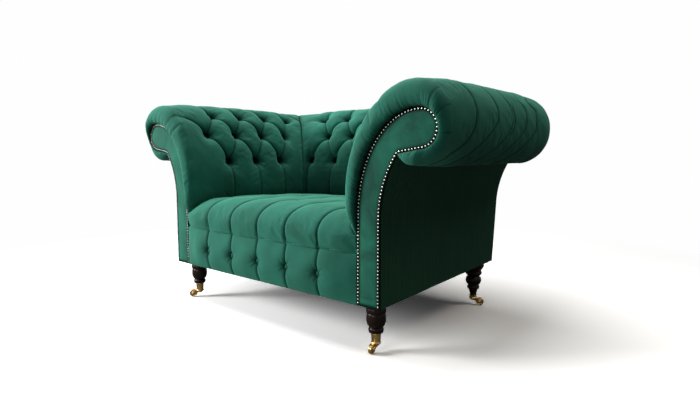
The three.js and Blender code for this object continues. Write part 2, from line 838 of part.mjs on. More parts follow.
function facing_outline(inset, outer_inset, bottom) {
  const scroll = stations.map((station) => core_level(station, inset));
  const heights = [scroll_underside_height + inset, ...falling_heights];
  const outer = heights.map((z) => [flare_out(z) - outer_inset, z]);
  return [
    [arm_inner + inset, bottom], ...scroll.slice(0, -1).map(({ out, z }) => [out, z]), ...outer,
    [base_half_width - outer_inset, bottom],
  ];
}

const facing = prism('y', facing_outline(0, 0, base_front_height), 0, facing_thickness);
sides.forEach(([side, sign]) => add(`arm_facing_${side}`, on_side(facing, sign), velvet()));

// A closed run of equal rings of points, with flat ends.
function lofted(rings) {
  const triangles = [];
  rings.slice(1).forEach((ring, i) => {
    ring.forEach((point, k) => {
      const next = (k + 1) % ring.length;
      triangles.push([rings[i][k], rings[i][next], point], [point, rings[i][next], ring[next]]);
    });
  });
  const [first, last] = [rings[0], rings[rings.length - 1]];
  for (let k = 1; k < first.length - 1; k += 1) {
    triangles.push([first[0], first[k + 1], first[k]], [last[0], last[k], last[k + 1]]);
  }
  return solid(triangles);
}

const nail_line = facing_outline(nail_inset, nail_inset, base_front_height + nail_inset)
  .map(([x, z]) => new THREE.Vector3(x, -seat_gap, z));
const nail_path = new THREE.CurvePath();
nail_line.slice(1).forEach((point, i) => nail_path.add(new THREE.LineCurve3(nail_line[i], point)));
const nail_count = Math.round(nail_path.getLength() / nail_pitch);
const nail_rings = Array.from({ length: 2 * nail_count + 1 }, (_, i) => {
  const share = i / (2 * nail_count);
  const centre = nail_path.getPointAt(share);
  const along = nail_path.getPointAt(Math.min(1, share + tiny_share))
    .sub(nail_path.getPointAt(Math.max(0, share - tiny_share))).normalize();
  const across_line = new THREE.Vector3(-along.z, 0, along.x);
  const size = i % 2 ? 1 : nail_waist_share;
  return [
    centre.clone().addScaledVector(across_line, nail_radius * size),
    centre.clone().add(new THREE.Vector3(0, -nail_rise * size, 0)),
    centre.clone().addScaledVector(across_line, -nail_radius * size),
  ];
});
const nails = lofted(nail_rings);
sides.forEach(([side, sign]) => add(`nail_strip_${side}`, on_side(nails, sign), pewter()));

// Frame of the arms: a scroll-shaped board behind each facing, the roll rail that the padding wraps over,
// the stuff rail that the inside arm is tacked to, and the hessian stretched between the two.
const board_back = facing_thickness + seat_gap + board_thickness;
const frame_front = board_back + seat_gap;
const board = prism(
  'y',
  facing_outline(0, panel_thickness + soft_gap, base_bottom(board_back) + frame_lift),
  facing_thickness + seat_gap,
  board_back,
);
sides.forEach(([side, sign]) => add(`arm_board_${side}`, on_side(board, sign), beech()));

const roll_stations = stations.filter((station) => station > row_b);
function roll_ring(place, run, gap) {
  return roll_stations.map((station) => place(core_level(station), run, gap).point);
}

function polygon_loft(rings) {
  const flat = rings[rings.length - 1].map((point) => new THREE.Vector2(point.x + point.y, point.z));
  const caps = THREE.ShapeUtils.triangulateShape(flat, []);
  const triangles = [];
  rings.slice(1).forEach((ring, i) => {
    ring.forEach((point, k) => {
      const next = (k + 1) % ring.length;
      triangles.push([rings[i][k], rings[i][next], point], [point, rings[i][next], ring[next]]);
    });
  });
  const [first, last] = [rings[0], rings[rings.length - 1]];
  const turned = THREE.ShapeUtils.isClockWise(flat);
  caps.forEach(([a, b, c]) => {
    const [start, end] = turned ? [[a, b, c], [a, c, b]] : [[a, c, b], [a, b, c]];
    triangles.push(start.map((k) => first[k]), end.map((k) => last[k]));
  });
  return solid(triangles);
}

const rail_bends = spread(turn_y, arm_mitre, 3);
const arm_rail_runs = [frame_front, turn_y, ...rail_bends];
const arm_roll_rail = polygon_loft(arm_rail_runs.map((run) => roll_ring(arm_place, run, mitre_gap)));
sides.forEach(([side, sign]) => add(`arm_roll_rail_${side}`, on_side(arm_roll_rail, sign), beech()));
const back_roll_rail = polygon_loft(hidden_back_runs.map((run) => roll_ring(back_place, run, mitre_gap)));
add('back_roll_rail', back_roll_rail, beech());

// Stuff rails, which the inside covers are tacked to, and the hessian stretched from them to the roll rails.
const lining_out = lining_thickness + 2 * seat_gap;
const stuff_inner = arm_inner + lining_out;
const stuff_outer = stuff_inner + board_thickness;
const stuff_back = back_inner + lining_out;
const stuff_top = stuff_rail_bottom + stuff_rail_height;
const arm_stuff_rail = block(
  stuff_inner, stuff_outer, frame_front, stuff_back - seat_gap, stuff_rail_bottom, stuff_top,
);
sides.forEach(([side, sign]) => add(`arm_stuff_rail_${side}`, on_side(arm_stuff_rail, sign), beech()));
add('back_stuff_rail', block(
  -stuff_outer, stuff_outer, stuff_back, stuff_back + board_thickness, stuff_rail_bottom, stuff_top,
), beech());

const lining_stations = [
  ...stations.filter((station) => station > 0 && station < roll_stations[0]),
  roll_stations[0] - lining_seam_share,
];

function lining(place, runs) {
  const [front, back] = [seat_gap, seat_gap + lining_thickness].map((inset) => (
    lining_stations.map((station) => runs.map((run) => place(core_level(station, inset), run, mitre_gap).point))
  ));
  return padded(front, back);
}

const arm_lining = lining(arm_place, arm_rail_runs);
sides.forEach(([side, sign]) => add(`arm_lining_${side}`, on_side(arm_lining, sign), hessian()));
add('back_lining', lining(back_place, hidden_back_runs), hessian());

// Seat frame: four beech rails, a leaning post behind each arm, and a block in each corner that takes a leg.
const frame_side = base_half_width - panel_thickness - soft_gap;
const frame_back = panel_thickness + soft_gap;
const front_bottom = base_bottom(board_back) + frame_lift;
const post_front = stuff_back + board_thickness + seat_gap;
const post_inner = frame_side - post_width;
const rear_rail_back = base_depth - frame_back;
const rear_rail_front = rear_rail_back - rail_thickness;
const rear_bottom = base_bottom(rear_rail_back) + frame_lift;
const side_rail_back = post_front - seat_gap;
const side_rail_front = frame_side - rail_thickness;
add('front_rail', block(
  -arm_inner, arm_inner, facing_thickness + seat_gap, board_back, front_bottom, rail_top,
), beech());
add('back_rail', block(
  seat_gap - post_inner, post_inner - seat_gap, rear_rail_front, rear_rail_back, rear_bottom, rail_top,
), beech());
const side_rail = prism('x', [
  [frame_front, base_bottom(frame_front) + frame_lift],
  [side_rail_back, base_bottom(side_rail_back) + frame_lift],
  [side_rail_back, rail_top],
  [frame_front, rail_top],
], side_rail_front, frame_side);
const back_post = prism('x', [
  [post_front, rear_bottom],
  [lean_y(rear_bottom) - frame_back, rear_bottom],
  [lean_y(post_top) - frame_back, post_top],
  [lean_y(post_top) - frame_back - post_depth, post_top + post_top_rise],
  [post_front, stuff_top],
], post_inner, frame_side);
sides.forEach(([side, sign]) => {
  add(`side_rail_${side}`, on_side(side_rail, sign), beech());
  add(`back_post_${side}`, on_side(back_post, sign), beech());
});

// A turned piece: [radius, height] pairs listed anticlockwise, spun round the upright axis.
function turned(profile, segments) {
  const points = profile.map(([radius, height]) => new THREE.Vector2(radius, height));
  return to_geometry(to_manifold(new THREE.LatheGeometry(points, segments).rotateX(right_angle)));
}

function rod(radius, from, to, segments) {
  return turned([[0, from], [radius, from], [radius, to], [0, to]], segments);
}

const leg_top = (leg_y) => base_bottom(leg_y) + frame_lift - seat_gap;
const bore_radius = bolt_radius + bore_clearance;
const block_inner = leg_x - block_reach;
const corners = [
  ['front', front_leg_y, frame_front, frame_front + front_block_depth, side_rail_front - seat_gap],
  ['rear', rear_leg_y, rear_rail_front - seat_gap - rear_block_depth, rear_rail_front - seat_gap,
    post_inner - seat_gap],
];
corners.forEach(([end, leg_y, y0, y1, outer]) => {
  const bottom = leg_top(leg_y) + seat_gap;
  const bore = rod(bore_radius, bottom - overrun, bottom + bolt_above + seat_gap, turned_sides);
  const corner_block = cut(block(block_inner, outer, y0, y1, bottom, bottom + block_height), [
    bore.translate(leg_x, leg_y, 0),
  ]);
  sides.forEach(([side, sign]) => add(`corner_block_${end}_${side}`, on_side(corner_block, sign), beech()));
});

// Serpentine springs run from the front rail to the back rail, tied by cross wires into one net.
const half_wire = spring_wire / 2;
const spring_z = rail_top + seat_gap + half_wire;
const spring_from = facing_thickness + board_thickness / 2;
const spring_to = rear_rail_front + rail_thickness / 2;
const wave = (spring_to - spring_from) / spring_waves;

function flat_wire(path) {
  const rings = path.map((point, i) => {
    const before = point.clone().sub(path[Math.max(0, i - 1)]).normalize();
    const after = path[Math.min(path.length - 1, i + 1)].clone().sub(point).normalize();
    const along = before.clone().add(after).normalize();
    const reach = half_wire / Math.max(along.dot(after), along.dot(before));
    const [x, y] = [-along.y * reach, along.x * reach];
    return [[x, y, half_wire], [-x, -y, half_wire], [-x, -y, -half_wire], [x, y, -half_wire]]
      .map(([dx, dy, dz]) => new THREE.Vector3(point.x + dx, point.y + dy, spring_z + dz));
  });
  return lofted(rings);
}

const spring_paths = [-2, -1, 0, 1, 2].map((place) => {
  const x = place * button_pitch;
  const path = [new THREE.Vector3(x, spring_from, 0)];
  for (let i = 0; i < spring_waves; i += 1) {
    const side_x = x + (i % 2 ? spring_half_width : -spring_half_width);
    [spring_turn_share, 1 - spring_turn_share].forEach((share) => {
      path.push(new THREE.Vector3(side_x, spring_from + wave * (i + share), 0));
    });
  }
  return [...path, new THREE.Vector3(x, spring_to, 0)];
});
const tie_end = pleat_reach + spring_half_width;
const ties = tie_shares.map((share) => {
  const y = spring_from + (spring_to - spring_from) * share;
  return block(-tie_end, tie_end, y - tie_half, y + tie_half, spring_z - tie_half, spring_z + tie_half);
});
add('seat_springs', united([...spring_paths.map(flat_wire), ...ties]), steel());
add('seat_deck', block(
  -border_half_width, border_half_width, facing_thickness + soft_gap, rear_rail_back - soft_gap,
  spring_z + half_wire + seat_gap, seat_bottom - soft_gap,
), hessian());

// Dust cover: black cloth under the rails, cut away round the legs, sloping with the base.
const notch = leg_x - leg_notch_half;
const cover_front = facing_thickness + seat_gap;
const cover_steps = [
  [frame_side, front_leg_y + leg_notch_half], [frame_side, rear_leg_y - leg_notch_half],
  [notch, rear_leg_y - leg_notch_half], [notch, rear_rail_back],
];
const cover_half = [[notch, cover_front], [notch, front_leg_y + leg_notch_half], ...cover_steps];
const cover_outline = [...cover_half, ...cover_half.map(([x, y]) => [-x, y]).reverse()];
const cover = prism('z', cover_outline, cover_lift, cover_lift + cover_thickness);
const cover_points = cover.attributes.position;
for (let i = 0; i < cover_points.count; i += 1) {
  cover_points.setZ(i, cover_points.getZ(i) + base_bottom(cover_points.getY(i)));
}
add('dust_cover', cover, dark_cloth());

// Turned legs. Each profile gives radius as a share of the bulb's, and height as a share of its height.
const front_leg_shares = [
  [0.369, 0.302], [0.481, 0.591], [0.712, 0.603], [0.763, 0.649], [0.763, 0.722], [0.661, 0.768],
  [0.847, 0.825], [0.966, 0.907], [1, 1], [0.983, 1.113], [0.922, 1.196], [1, 1.237],
  [1.017, 1.309], [0.983, 1.402], [0.949, 1.53],
];
const rear_leg_shares = [
  [0.349, 0.302], [0.349, 0.405], [0.407, 0.412], [0.559, 0.619], [0.678, 0.649], [0.79, 0.711],
  [0.712, 0.778], [0.712, 0.825], [0.881, 0.887], [1, 1], [0.881, 1.113], [0.695, 1.175],
  [0.881, 1.227], [1.051, 1.299], [0.949, 1.361], [1.017, 1.402], [1.22, 1.505], [1.305, 1.567],
  [1.305, 1.757],
];

function turned_leg(shares, leg_y) {
  const top = leg_top(leg_y);
  const outline = shares.map(([radius, height]) => [radius * bulb_radius, height * bulb_height]);
  const shoulder = outline[outline.length - 1][1] + seat_gap;
  const bore_bottom = top - bolt_below - seat_gap;
  return turned([
    [0, outline[0][1]], ...outline, [spigot_radius, shoulder], [spigot_radius, top], [bore_radius, top],
    [bore_radius, bore_bottom], [0, bore_bottom],
  ], turned_sides);
}

const leg_shapes = {
  front: turned_leg(front_leg_shares, front_leg_y),
  rear: turned_leg(rear_leg_shares, rear_leg_y),
};

// Brass castors: a cup on the foot of the leg, a horn that swivels in its floor, and a wheel on an axle.
const cup_top_floor = cup_bottom + cup_floor;
const stud_bore = stud_radius + stud_clearance;

function cup(top, outer, inner) {
  return turned([
    [stud_bore, cup_bottom], [cup_foot_radius - cup_wall, cup_bottom],
    [cup_foot_radius, cup_bottom + cup_wall],
    [cup_foot_radius, cup_top_floor - cup_wall], [cup_neck_radius, cup_top_floor], [outer, top], [inner, top],
    [cup_inner_radius, cup_top_floor], [stud_bore, cup_top_floor], [stud_bore, cup_bottom],
  ], turned_sides);
}

const cups = {
  front: cup(front_cup_top, front_cup_radius, front_cup_radius - cup_wall),
  rear: cup(rear_cup_top, cup_neck_radius, rear_cup_inner),
};
const cheek_inner = wheel_width / 2 + wheel_clearance;
const cheek_outer = cheek_inner + cheek_thickness;
const crown_top = cup_bottom - seat_gap;
const crown_bottom = crown_top - crown_thickness;
const cheek_shares = [
  [-0.27, 1.3], [-0.27, 1.6], [0.35, 1.6], [0.85, 1.43], [1.19, 1.13], [1.21, 0.8], [1.04, 0.63],
  [0.81, 0.73], [0.23, 1.3],
];
const cheek_outline = cheek_shares.map(([x, z]) => [x * castor_trail, z * wheel_radius]);
const across_axle = (geometry) => geometry.rotateX(right_angle).translate(castor_trail, 0, wheel_radius);
const axle_bore = axle_radius + axle_clearance;
const horn = cut(united([
  rod(crown_radius, crown_bottom, crown_top, turned_sides),
  rod(stud_radius, crown_bottom + axle_clearance, cup_top_floor - stud_clearance, turned_sides / 2),
  prism('y', cheek_outline, cheek_inner, cheek_outer),
  prism('y', cheek_outline, -cheek_outer, -cheek_inner),
]), [across_axle(rod(axle_bore, -cheek_outer - overrun, cheek_outer + overrun, turned_sides / 2))]);
const axle = across_axle(rod(axle_radius, -cheek_outer - seat_gap, cheek_outer + seat_gap, turned_sides / 2));
const half_wheel = wheel_width / 2;
const rim_radius = wheel_radius / Math.cos(Math.PI / turned_sides);
const wheel = across_axle(turned([
  [axle_bore, -half_wheel], [rim_radius, -half_wheel], [rim_radius, half_wheel], [axle_bore, half_wheel],
  [axle_bore, -half_wheel],
], turned_sides).rotateZ(Math.PI / turned_sides));

const castor_turns = {
  front_left: -130.5, front_right: -80.8, rear_left: 120, rear_right: 12.8,
};
[['front', front_leg_y], ['rear', rear_leg_y]].forEach(([end, leg_y]) => {
  const top = leg_top(leg_y);
  const leg_bolt = rod(bolt_radius, top - bolt_below, top + bolt_above, turned_sides / 2);
  sides.forEach(([side, sign]) => {
    const corner = `${end}_${side}`;
    const standing = new THREE.Group();
    standing.position.set(sign * leg_x, leg_y, 0);
    chair.add(standing);
    add(`leg_${corner}`, leg_shapes[end], dark_wood(), standing);
    add(`leg_bolt_${corner}`, leg_bolt, steel(), standing);
    add(`castor_cup_${corner}`, cups[end], brass(), standing);
    const trailing = new THREE.Group();
    trailing.rotation.z = THREE.MathUtils.degToRad(castor_turns[corner]);
    standing.add(trailing);
    add(`castor_horn_${corner}`, horn, brass(), trailing);
    add(`castor_axle_${corner}`, axle, steel(), trailing);
    add(`castor_wheel_${corner}`, wheel, brass(), trailing);
  });
});

export default armchair;
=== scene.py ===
import bmesh
import bpy
import numpy as np
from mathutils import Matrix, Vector
from mathutils.geometry import tessellate_polygon


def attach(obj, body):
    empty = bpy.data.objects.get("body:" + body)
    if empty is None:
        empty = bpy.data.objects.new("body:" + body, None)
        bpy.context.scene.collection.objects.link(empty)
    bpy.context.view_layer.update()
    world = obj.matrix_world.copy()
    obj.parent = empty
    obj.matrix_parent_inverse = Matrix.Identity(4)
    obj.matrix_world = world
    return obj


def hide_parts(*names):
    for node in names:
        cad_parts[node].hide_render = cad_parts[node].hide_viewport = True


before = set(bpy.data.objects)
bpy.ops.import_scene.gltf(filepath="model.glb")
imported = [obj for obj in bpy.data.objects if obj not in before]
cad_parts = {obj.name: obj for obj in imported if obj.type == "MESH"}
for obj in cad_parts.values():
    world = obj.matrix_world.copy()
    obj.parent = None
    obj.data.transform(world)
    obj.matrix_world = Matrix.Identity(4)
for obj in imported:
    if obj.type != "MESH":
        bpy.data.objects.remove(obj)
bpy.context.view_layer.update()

# ---- Camera, floor and light
# The chair stands on a pale seamless floor, seen from its front right corner, a little below the arms' height.
# Soft light comes from above and from the left, so that the outside of the right arm lies in shade.
def added(name, data):
    """An object with this data, in the scene."""
    made = bpy.data.objects.new(name, data)
    bpy.context.collection.objects.link(made)
    return made


pitch, azimuth = np.radians(5.3256), np.radians(40.197)
looking = Vector((-np.sin(azimuth) * np.cos(pitch), np.cos(azimuth) * np.cos(pitch), -np.sin(pitch)))
camera = added("camera", bpy.data.cameras.new("camera"))
camera.data.lens = 26.42
camera.location = (1.3428, -1.5496, 0.5861)
camera.rotation_euler = looking.to_track_quat("-Z", "Y").to_euler()
bpy.context.scene.camera = camera
bpy.context.scene.view_settings.view_transform = "Standard"


def linear(code):
    """The colour that Blender works with, from an sRGB hex value."""
    parts = [int(code[i:i + 2], 16) / 255 for i in (1, 3, 5)]
    return (*[p / 12.92 if p <= 0.04045 else ((p + 0.055) / 1.055) ** 2.4 for p in parts], 1.0)


def add_node(tree, kind, inputs=(), **properties):
    """Adds a node. A value in inputs is a number or colour for that socket, or the output to link to it."""
    node = tree.nodes.new(kind)
    for name, value in properties.items():
        setattr(node, name, value)
    for name, value in dict(inputs).items():
        if isinstance(value, bpy.types.NodeSocket):
            tree.links.new(value, node.inputs[name])
        else:
            node.inputs[name].default_value = value
    return node


def new_material(name):
    """An empty material, its nodes, and the place on the object that its textures go by."""
    made = bpy.data.materials.new(name)
    made.use_nodes = True
    made.node_tree.nodes.clear()
    return made, made.node_tree, add_node(made.node_tree, "ShaderNodeTexCoord").outputs["Object"]


def ranged(tree, factor, low, high, start=0.0, stop=1.0):
    """A value that goes from low to high while the factor goes from start to stop."""
    return add_node(tree, "ShaderNodeMapRange", {
        "Value": factor, "From Min": start, "From Max": stop, "To Min": low, "To Max": high,
    }).outputs["Result"]


def blended(tree, share, one, other):
    """A shader that goes from one to the other with the share."""
    return add_node(tree, "ShaderNodeMixShader", {0: share, 1: one, 2: other}).outputs[0]


chair_middle = Vector((0, 0, 0.45))
for name, place, size, power, tint in [
    ("light_above", (-0.6, 0.0, 3.2), 3.0, 96.0, "#ffffff"),
    ("light_left", (-2.55, -2.8, 1.5), 1.4, 150.0, "#ffffff"),
    ("light_front", (0.3, -3.6, 1.3), 1.6, 32.0, "#ffffff"),
    ("light_right", (1.9, 0.7, 2.8), 1.4, 18.0, "#fff6ec"),
]:
    light = added(name, bpy.data.lights.new(name, "AREA"))
    light.data.size, light.data.energy, light.data.color = size, power, linear(tint)[:3]
    light.location = place
    light.rotation_euler = (chair_middle - light.location).to_track_quat("-Z", "Y").to_euler()

world = bpy.data.worlds.new("studio")
world.use_nodes = True
bpy.context.scene.world = world
tree = world.node_tree
tree.nodes.clear()
seen = add_node(tree, "ShaderNodeLightPath").outputs
around, mirrored, backdrop = (
    add_node(tree, "ShaderNodeBackground", {"Color": linear(code), "Strength": strength}).outputs[0]
    for code, strength in (("#eef2f6", 0.05), ("#f4f6f8", 0.36), ("#fefefe", 1.0)))
dim = blended(tree, seen["Is Glossy Ray"], around, mirrored)
add_node(tree, "ShaderNodeOutputWorld", {"Surface": blended(tree, seen["Is Camera Ray"], dim, backdrop)})

# The floor takes the chair's shadow near it, and runs out to the white of the backdrop. The camera sees the
# paper as brightly lit as in the studio, and the chair gets only a little light back from it.
floor_material, tree, place = new_material("studio_floor_paper")
away = add_node(tree, "ShaderNodeVectorMath", {0: place}, operation="LENGTH").outputs["Value"]
bounce = add_node(tree, "ShaderNodeBsdfDiffuse", {"Color": linear("#7e7c78")}).outputs[0]
paper = add_node(tree, "ShaderNodeBsdfDiffuse", {"Color": (1.6, 1.6, 1.59, 1.0)}).outputs[0]
white = add_node(tree, "ShaderNodeEmission", {"Color": linear("#fefefe"), "Strength": 1.0}).outputs[0]
faded = blended(tree, ranged(tree, away, 0.0, 1.0, 1.1, 2.3), paper, white)
seen = add_node(tree, "ShaderNodeLightPath").outputs
shown = blended(tree, seen["Is Camera Ray"], bounce, faded)
add_node(tree, "ShaderNodeOutputMaterial", {"Surface": shown})
floor_half, floor_z = 9, -0.0004
floor_mesh = bpy.data.meshes.new("floor")
floor_mesh.from_pydata(
    [(x * floor_half, y * floor_half, floor_z) for x, y in ((-1, -1), (1, -1), (1, 1), (-1, 1))],
    [], [(0, 1, 2, 3)])
floor_mesh.materials.append(floor_material)
floor = added("floor", floor_mesh)

# ---- Frame of beech
# Rails, posts, boards and corner blocks of sawn beech, glued and screwed together. All of it is covered, so the
# CAD solids stay as they are and get unfinished wood whose grain runs along each member.
def noise(tree, place, scale, detail, stretch=None, **sockets):
    """Noise with so many waves to the metre, or stretched by a number for each axis."""
    if stretch:
        place = add_node(tree, "ShaderNodeMapping", {"Vector": place, "Scale": stretch}).outputs[0]
    return add_node(tree, "ShaderNodeTexNoise", {
        "Vector": place, "Scale": scale, "Detail": detail, **sockets}).outputs["Fac"]


def two_tone(tree, factor, low, high, reach=(0.0, 1.0)):
    """A ramp between two sRGB hex values, while the factor goes over the reach."""
    ramp = add_node(tree, "ShaderNodeValToRGB", {"Fac": factor})
    for stop, code, position in zip(ramp.color_ramp.elements, (low, high), reach):
        stop.color, stop.position = linear(code), position
    return ramp.outputs["Color"]


def bumped(tree, height, strength, distance):
    return add_node(tree, "ShaderNodeBump", {
        "Height": height, "Strength": strength, "Distance": distance}).outputs[0]


def surfaced(tree, values):
    """Makes the material's surface, with these values of a principled shader."""
    shader = add_node(tree, "ShaderNodeBsdfPrincipled", values)
    add_node(tree, "ShaderNodeOutputMaterial", {"Surface": shader.outputs[0]})


def give(material, starts):
    """Gives a material to the CAD solids whose names start so."""
    for node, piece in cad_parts.items():
        if node.startswith(starts):
            piece.data.materials.clear()
            piece.data.materials.append(material)


for axis, stretch, members in [
    ("x", (4, 90, 90), ("front_rail", "back_rail", "back_roll", "back_stuff", "corner_block")),
    ("y", (90, 4, 90), ("side_rail", "arm_roll", "arm_stuff")),
    ("z", (90, 90, 4), ("arm_board", "back_post")),
]:
    beech, tree, place = new_material(f"sawn_beech_grain_along_{axis}")
    grain = noise(tree, place, 1.0, 5.0, stretch)
    surfaced(tree, {
        "Base Color": two_tone(tree, grain, "#b3884f", "#d3b27e", (0.35, 0.65)), "Roughness": 0.7, "IOR": 1.5,
        "Normal": bumped(tree, grain, 0.4, 0.0004),
    })
    give(beech, members)

# ---- Springs, bolts and castor axles
# Serpentine springs and hanger bolts are drawn steel wire and rod, zinc plated. They are hidden, so the CAD
# solids stay and get the metal's finish, which the castors' axles share.
zinc, tree, place = new_material("drawn_steel_zinc_plated")
surfaced(tree, {
    "Base Color": linear("#a9adb0"), "Metallic": 1.0,
    "Roughness": ranged(tree, noise(tree, place, 260.0, 2.0), 0.28, 0.5),
})
give(zinc, ("seat_springs", "leg_bolt"))

# ---- Hessian
# The deck over the springs and the linings of arms and back are jute hessian, woven of coarse yarn. The yarn
# stands 2.5 mm apart, and is drawn at that size, as bands across the height and bands aslant.
hessian, tree, place = new_material("woven_jute_hessian")
warp, weft = (
    add_node(tree, "ShaderNodeTexWave", {
        "Vector": place, "Scale": 62.0, "Distortion": 0.6, "Detail": 1.0}, bands_direction=way).outputs["Fac"]
    for way in ("Z", "DIAGONAL"))
yarn = add_node(tree, "ShaderNodeMath", {0: warp, 1: weft}, operation="MAXIMUM").outputs[0]
surfaced(tree, {
    "Base Color": two_tone(tree, yarn, "#6f5a36", "#bfa678"), "Roughness": 0.95,
    "Normal": bumped(tree, yarn, 0.6, 0.0008),
})
give(hessian, ("seat_deck", "arm_lining", "back_lining"))

# ---- Padding of the arms
# Cotton velvet over foam and fibre, from behind the seat up the wall, over the scroll roll and back under it to
# the outside panel. Buttons pull it down into pits, straight pleats run between them, and at the front it
# wraps round into a plump border that ends under the facing's nails. Sizes are in millimetres.
METRE = 0.001
facing_y = -435.0
arm_inner, back_inner, base_depth, base_half_width = 428.0, 634.0, 718.0, 507.0
base_low, wall_foot, wall_low = 147.0, 349.0, 440.0
flare_low, flare_radius, lean_low, lean = 400.0, 317.0, 172.0, 0.116
roll_x, back_roll_y, wall_x, wall_y = 616.0, 785.0, 374.0, 580.0
roll_top, roll_bottom = 784.0, 547.0
scroll_x, back_scroll_y, scroll_height, scroll_radius = 634.0, 803.0, 647.0, 53.0
tip_height, scroll_underside = 572.0, 583.0
turn_y, arm_mitre, back_turn, back_mitre = 537.0, 677.0, 350.0, 420.0
pitch_between, seam_gap, soft_gap, cover_gap = 140.0, 0.15, 0.6, 0.3


def flare_out(z):
    """How far out the outside arm panel stands at a height."""
    return base_half_width + flare_radius - np.sqrt(flare_radius ** 2 - np.maximum(0, z - flare_low) ** 2)


def lean_y(z):
    """Where the outside back stands at a height."""
    return base_depth + (z - lean_low) * lean


def levels(station, foot, wall, roll, tip):
    """Reach on the arm, reach on the back, corner radius and height at each station of a cross-section.

    Stations 0 to 1 go up the foot, 1 to 2 over the wall, 2 to 3 round the roll and 3 to 4 home to the tip."""
    s = np.asarray(station, float)[:, None]
    rise, turn, over, home = (np.clip(s - k, 0, 1) for k in range(4))
    turn, over = turn * np.pi / 2, over * np.pi
    *feet, z_foot, z_wall, foot_extra = foot
    *walls, z_top = wall
    reach, z_mid, half = roll
    *tips, z_tip, easing = tip
    extra = foot_extra * (1 - rise) ** 3.0

    def chosen(*parts):
        return np.select([s <= 1, s <= 2, s <= 3], parts[:3], parts[3])

    level = {"z": chosen(
        z_foot + (z_wall - z_foot) * rise, z_wall + (z_top - z_wall) * np.sin(turn),
        z_mid + half * np.cos(over), z_mid - half + (z_tip - z_mid + half) * home ** easing)}
    for name, low, high, end, more in zip(("out", "back", "radius"), feet, walls, tips, (extra, extra, 0 * s)):
        level[name] = chosen(
            low + more, high - (high - low) * np.cos(turn), high + reach * np.sin(over),
            high + (end - high) * home)
    level["shift"] = np.where(s > 3, walls[0] - walls[1] - level["out"] + level["back"], 0.0)
    return level


def padding_levels(station):
    """The surface of the padding of arms and back before its buttons and pleats draw it in."""
    return levels(
        station, (wall_x, wall_y, 42.0, wall_foot, wall_low, 46.0), (roll_x, back_roll_y, 167.0, roll_top),
        (110.0, (roll_top + roll_bottom) / 2, (roll_top - roll_bottom) / 2),
        (flare_out(tip_height) + soft_gap, lean_y(tip_height) + soft_gap, 4.0, tip_height, 1.8),
    )


def core_levels(station, g=cover_gap):
    """The frame's surface moved out by g millimetres, so that the padding starts a small gap away from it."""
    return levels(
        station, (arm_inner - g, back_inner - g, 18.0, wall_foot, 410.0, 0.0),
        (scroll_x, back_scroll_y, 185.0, 700.0 + g),
        (scroll_radius + g, scroll_height, scroll_radius + g),
        (flare_out(scroll_underside) + g, lean_y(scroll_underside) + soft_gap, 4.0, scroll_underside - g, 1.0),
    )


def round_corner(level, turn):
    """Points that lie so far past the end of the arm's straight line, and the way out from the chair there."""
    radius = level["radius"]
    angle = np.clip(turn / radius, 0, np.pi / 2)
    rest = turn - angle * radius
    x = level["out"] - radius + radius * np.cos(angle) + np.minimum(0, -rest)
    y = level["back"] - radius + radius * np.sin(angle) + np.minimum(0, rest)
    return np.stack([x, y, level["z"] + 0 * x], -1)


def seam_shift(level):
    """How far round a corner its seam lies from the corner's middle."""
    bent = np.clip(level["shift"], -level["radius"], level["radius"])
    angle = np.arccos(bent / level["radius"] / np.sqrt(2)) - np.pi / 4
    return level["radius"] * (np.pi / 4 - angle) + level["shift"] - bent


def arm_place(level, run, gap=0.0):
    """Points of the right arm, at y = run as far as the last button and shared out to the corner's seam."""
    run = np.asarray(run, float)[None, :]
    straight = level["back"] - level["radius"]
    last = straight - turn_y + level["radius"] * np.pi / 4 - seam_shift(level)
    past = np.clip(run - turn_y, 0, None) / (arm_mitre - turn_y)
    points = round_corner(level, np.minimum(run, turn_y) - straight + last * past)
    return points + np.where(past >= 1, gap, 0.0)[..., None] * np.array([1, -1, 0]), past


def back_place(level, run, gap=0.0):
    """Points of the back, at x = run as far as the last button and shared out to the seams."""
    run = np.asarray(run, float)[None, :]
    side = np.where(run < 0, -1.0, 1.0)
    shift = seam_shift(level)
    end = level["out"] - level["radius"] + level["radius"] * np.pi / 2
    last = end - back_turn - level["radius"] * np.pi / 4 + np.minimum(0, shift)
    past = np.clip(np.abs(run) - back_turn, 0, None) / (back_mitre - back_turn)
    bent = np.where(shift > 0.01, np.minimum(1, past / 0.8), past)
    over = np.where(shift > 0.01, np.maximum(0, past - 0.8) / 0.2, 0)
    points = round_corner(level, end - np.minimum(np.abs(run), back_turn) - last * bent - shift * over)
    points = points + np.where(past >= 1, gap, 0.0)[..., None] * np.array([-1, 1, 0])
    points[..., 0] *= side
    return points, past + 0 * points[..., 0]


def evenly(*stops):
    """Values through the stops, in the number of steps given between each two: 0, 4, 10 is 0 to 10 in 4."""
    values = [float(stops[0])]
    for steps, stop in zip(stops[1::2], stops[2::2]):
        values += list(np.linspace(values[-1], stop, int(steps) + 1)[1:])
    return np.array(values)


# Heights are measured over the padding's own surface, so that buttons and pleats are laid out on flat cloth.
fine_stations = np.linspace(0, 4, 1601)
fine = padding_levels(fine_stations)
steps_up = np.hypot(np.diff(fine["out"][:, 0]), np.diff(fine["z"][:, 0]))
fine_heights = np.concatenate([[0], np.cumsum(steps_up)])
height_a, height_b, height_c, height_top, height_end, height_tip = np.interp(
    [1.225, 1.475, 1.735, 2.0, 3.5, 4.0], fine_stations, fine_heights)

across_lattice = 22  # mesh steps between two columns of buttons, half a pitch apart
heights = evenly(
    0, 60, height_a, across_lattice, height_b, across_lattice, height_c, 24, height_top, 120, height_end,
    16, height_tip)
rows = np.interp(heights, fine_heights, fine_stations)


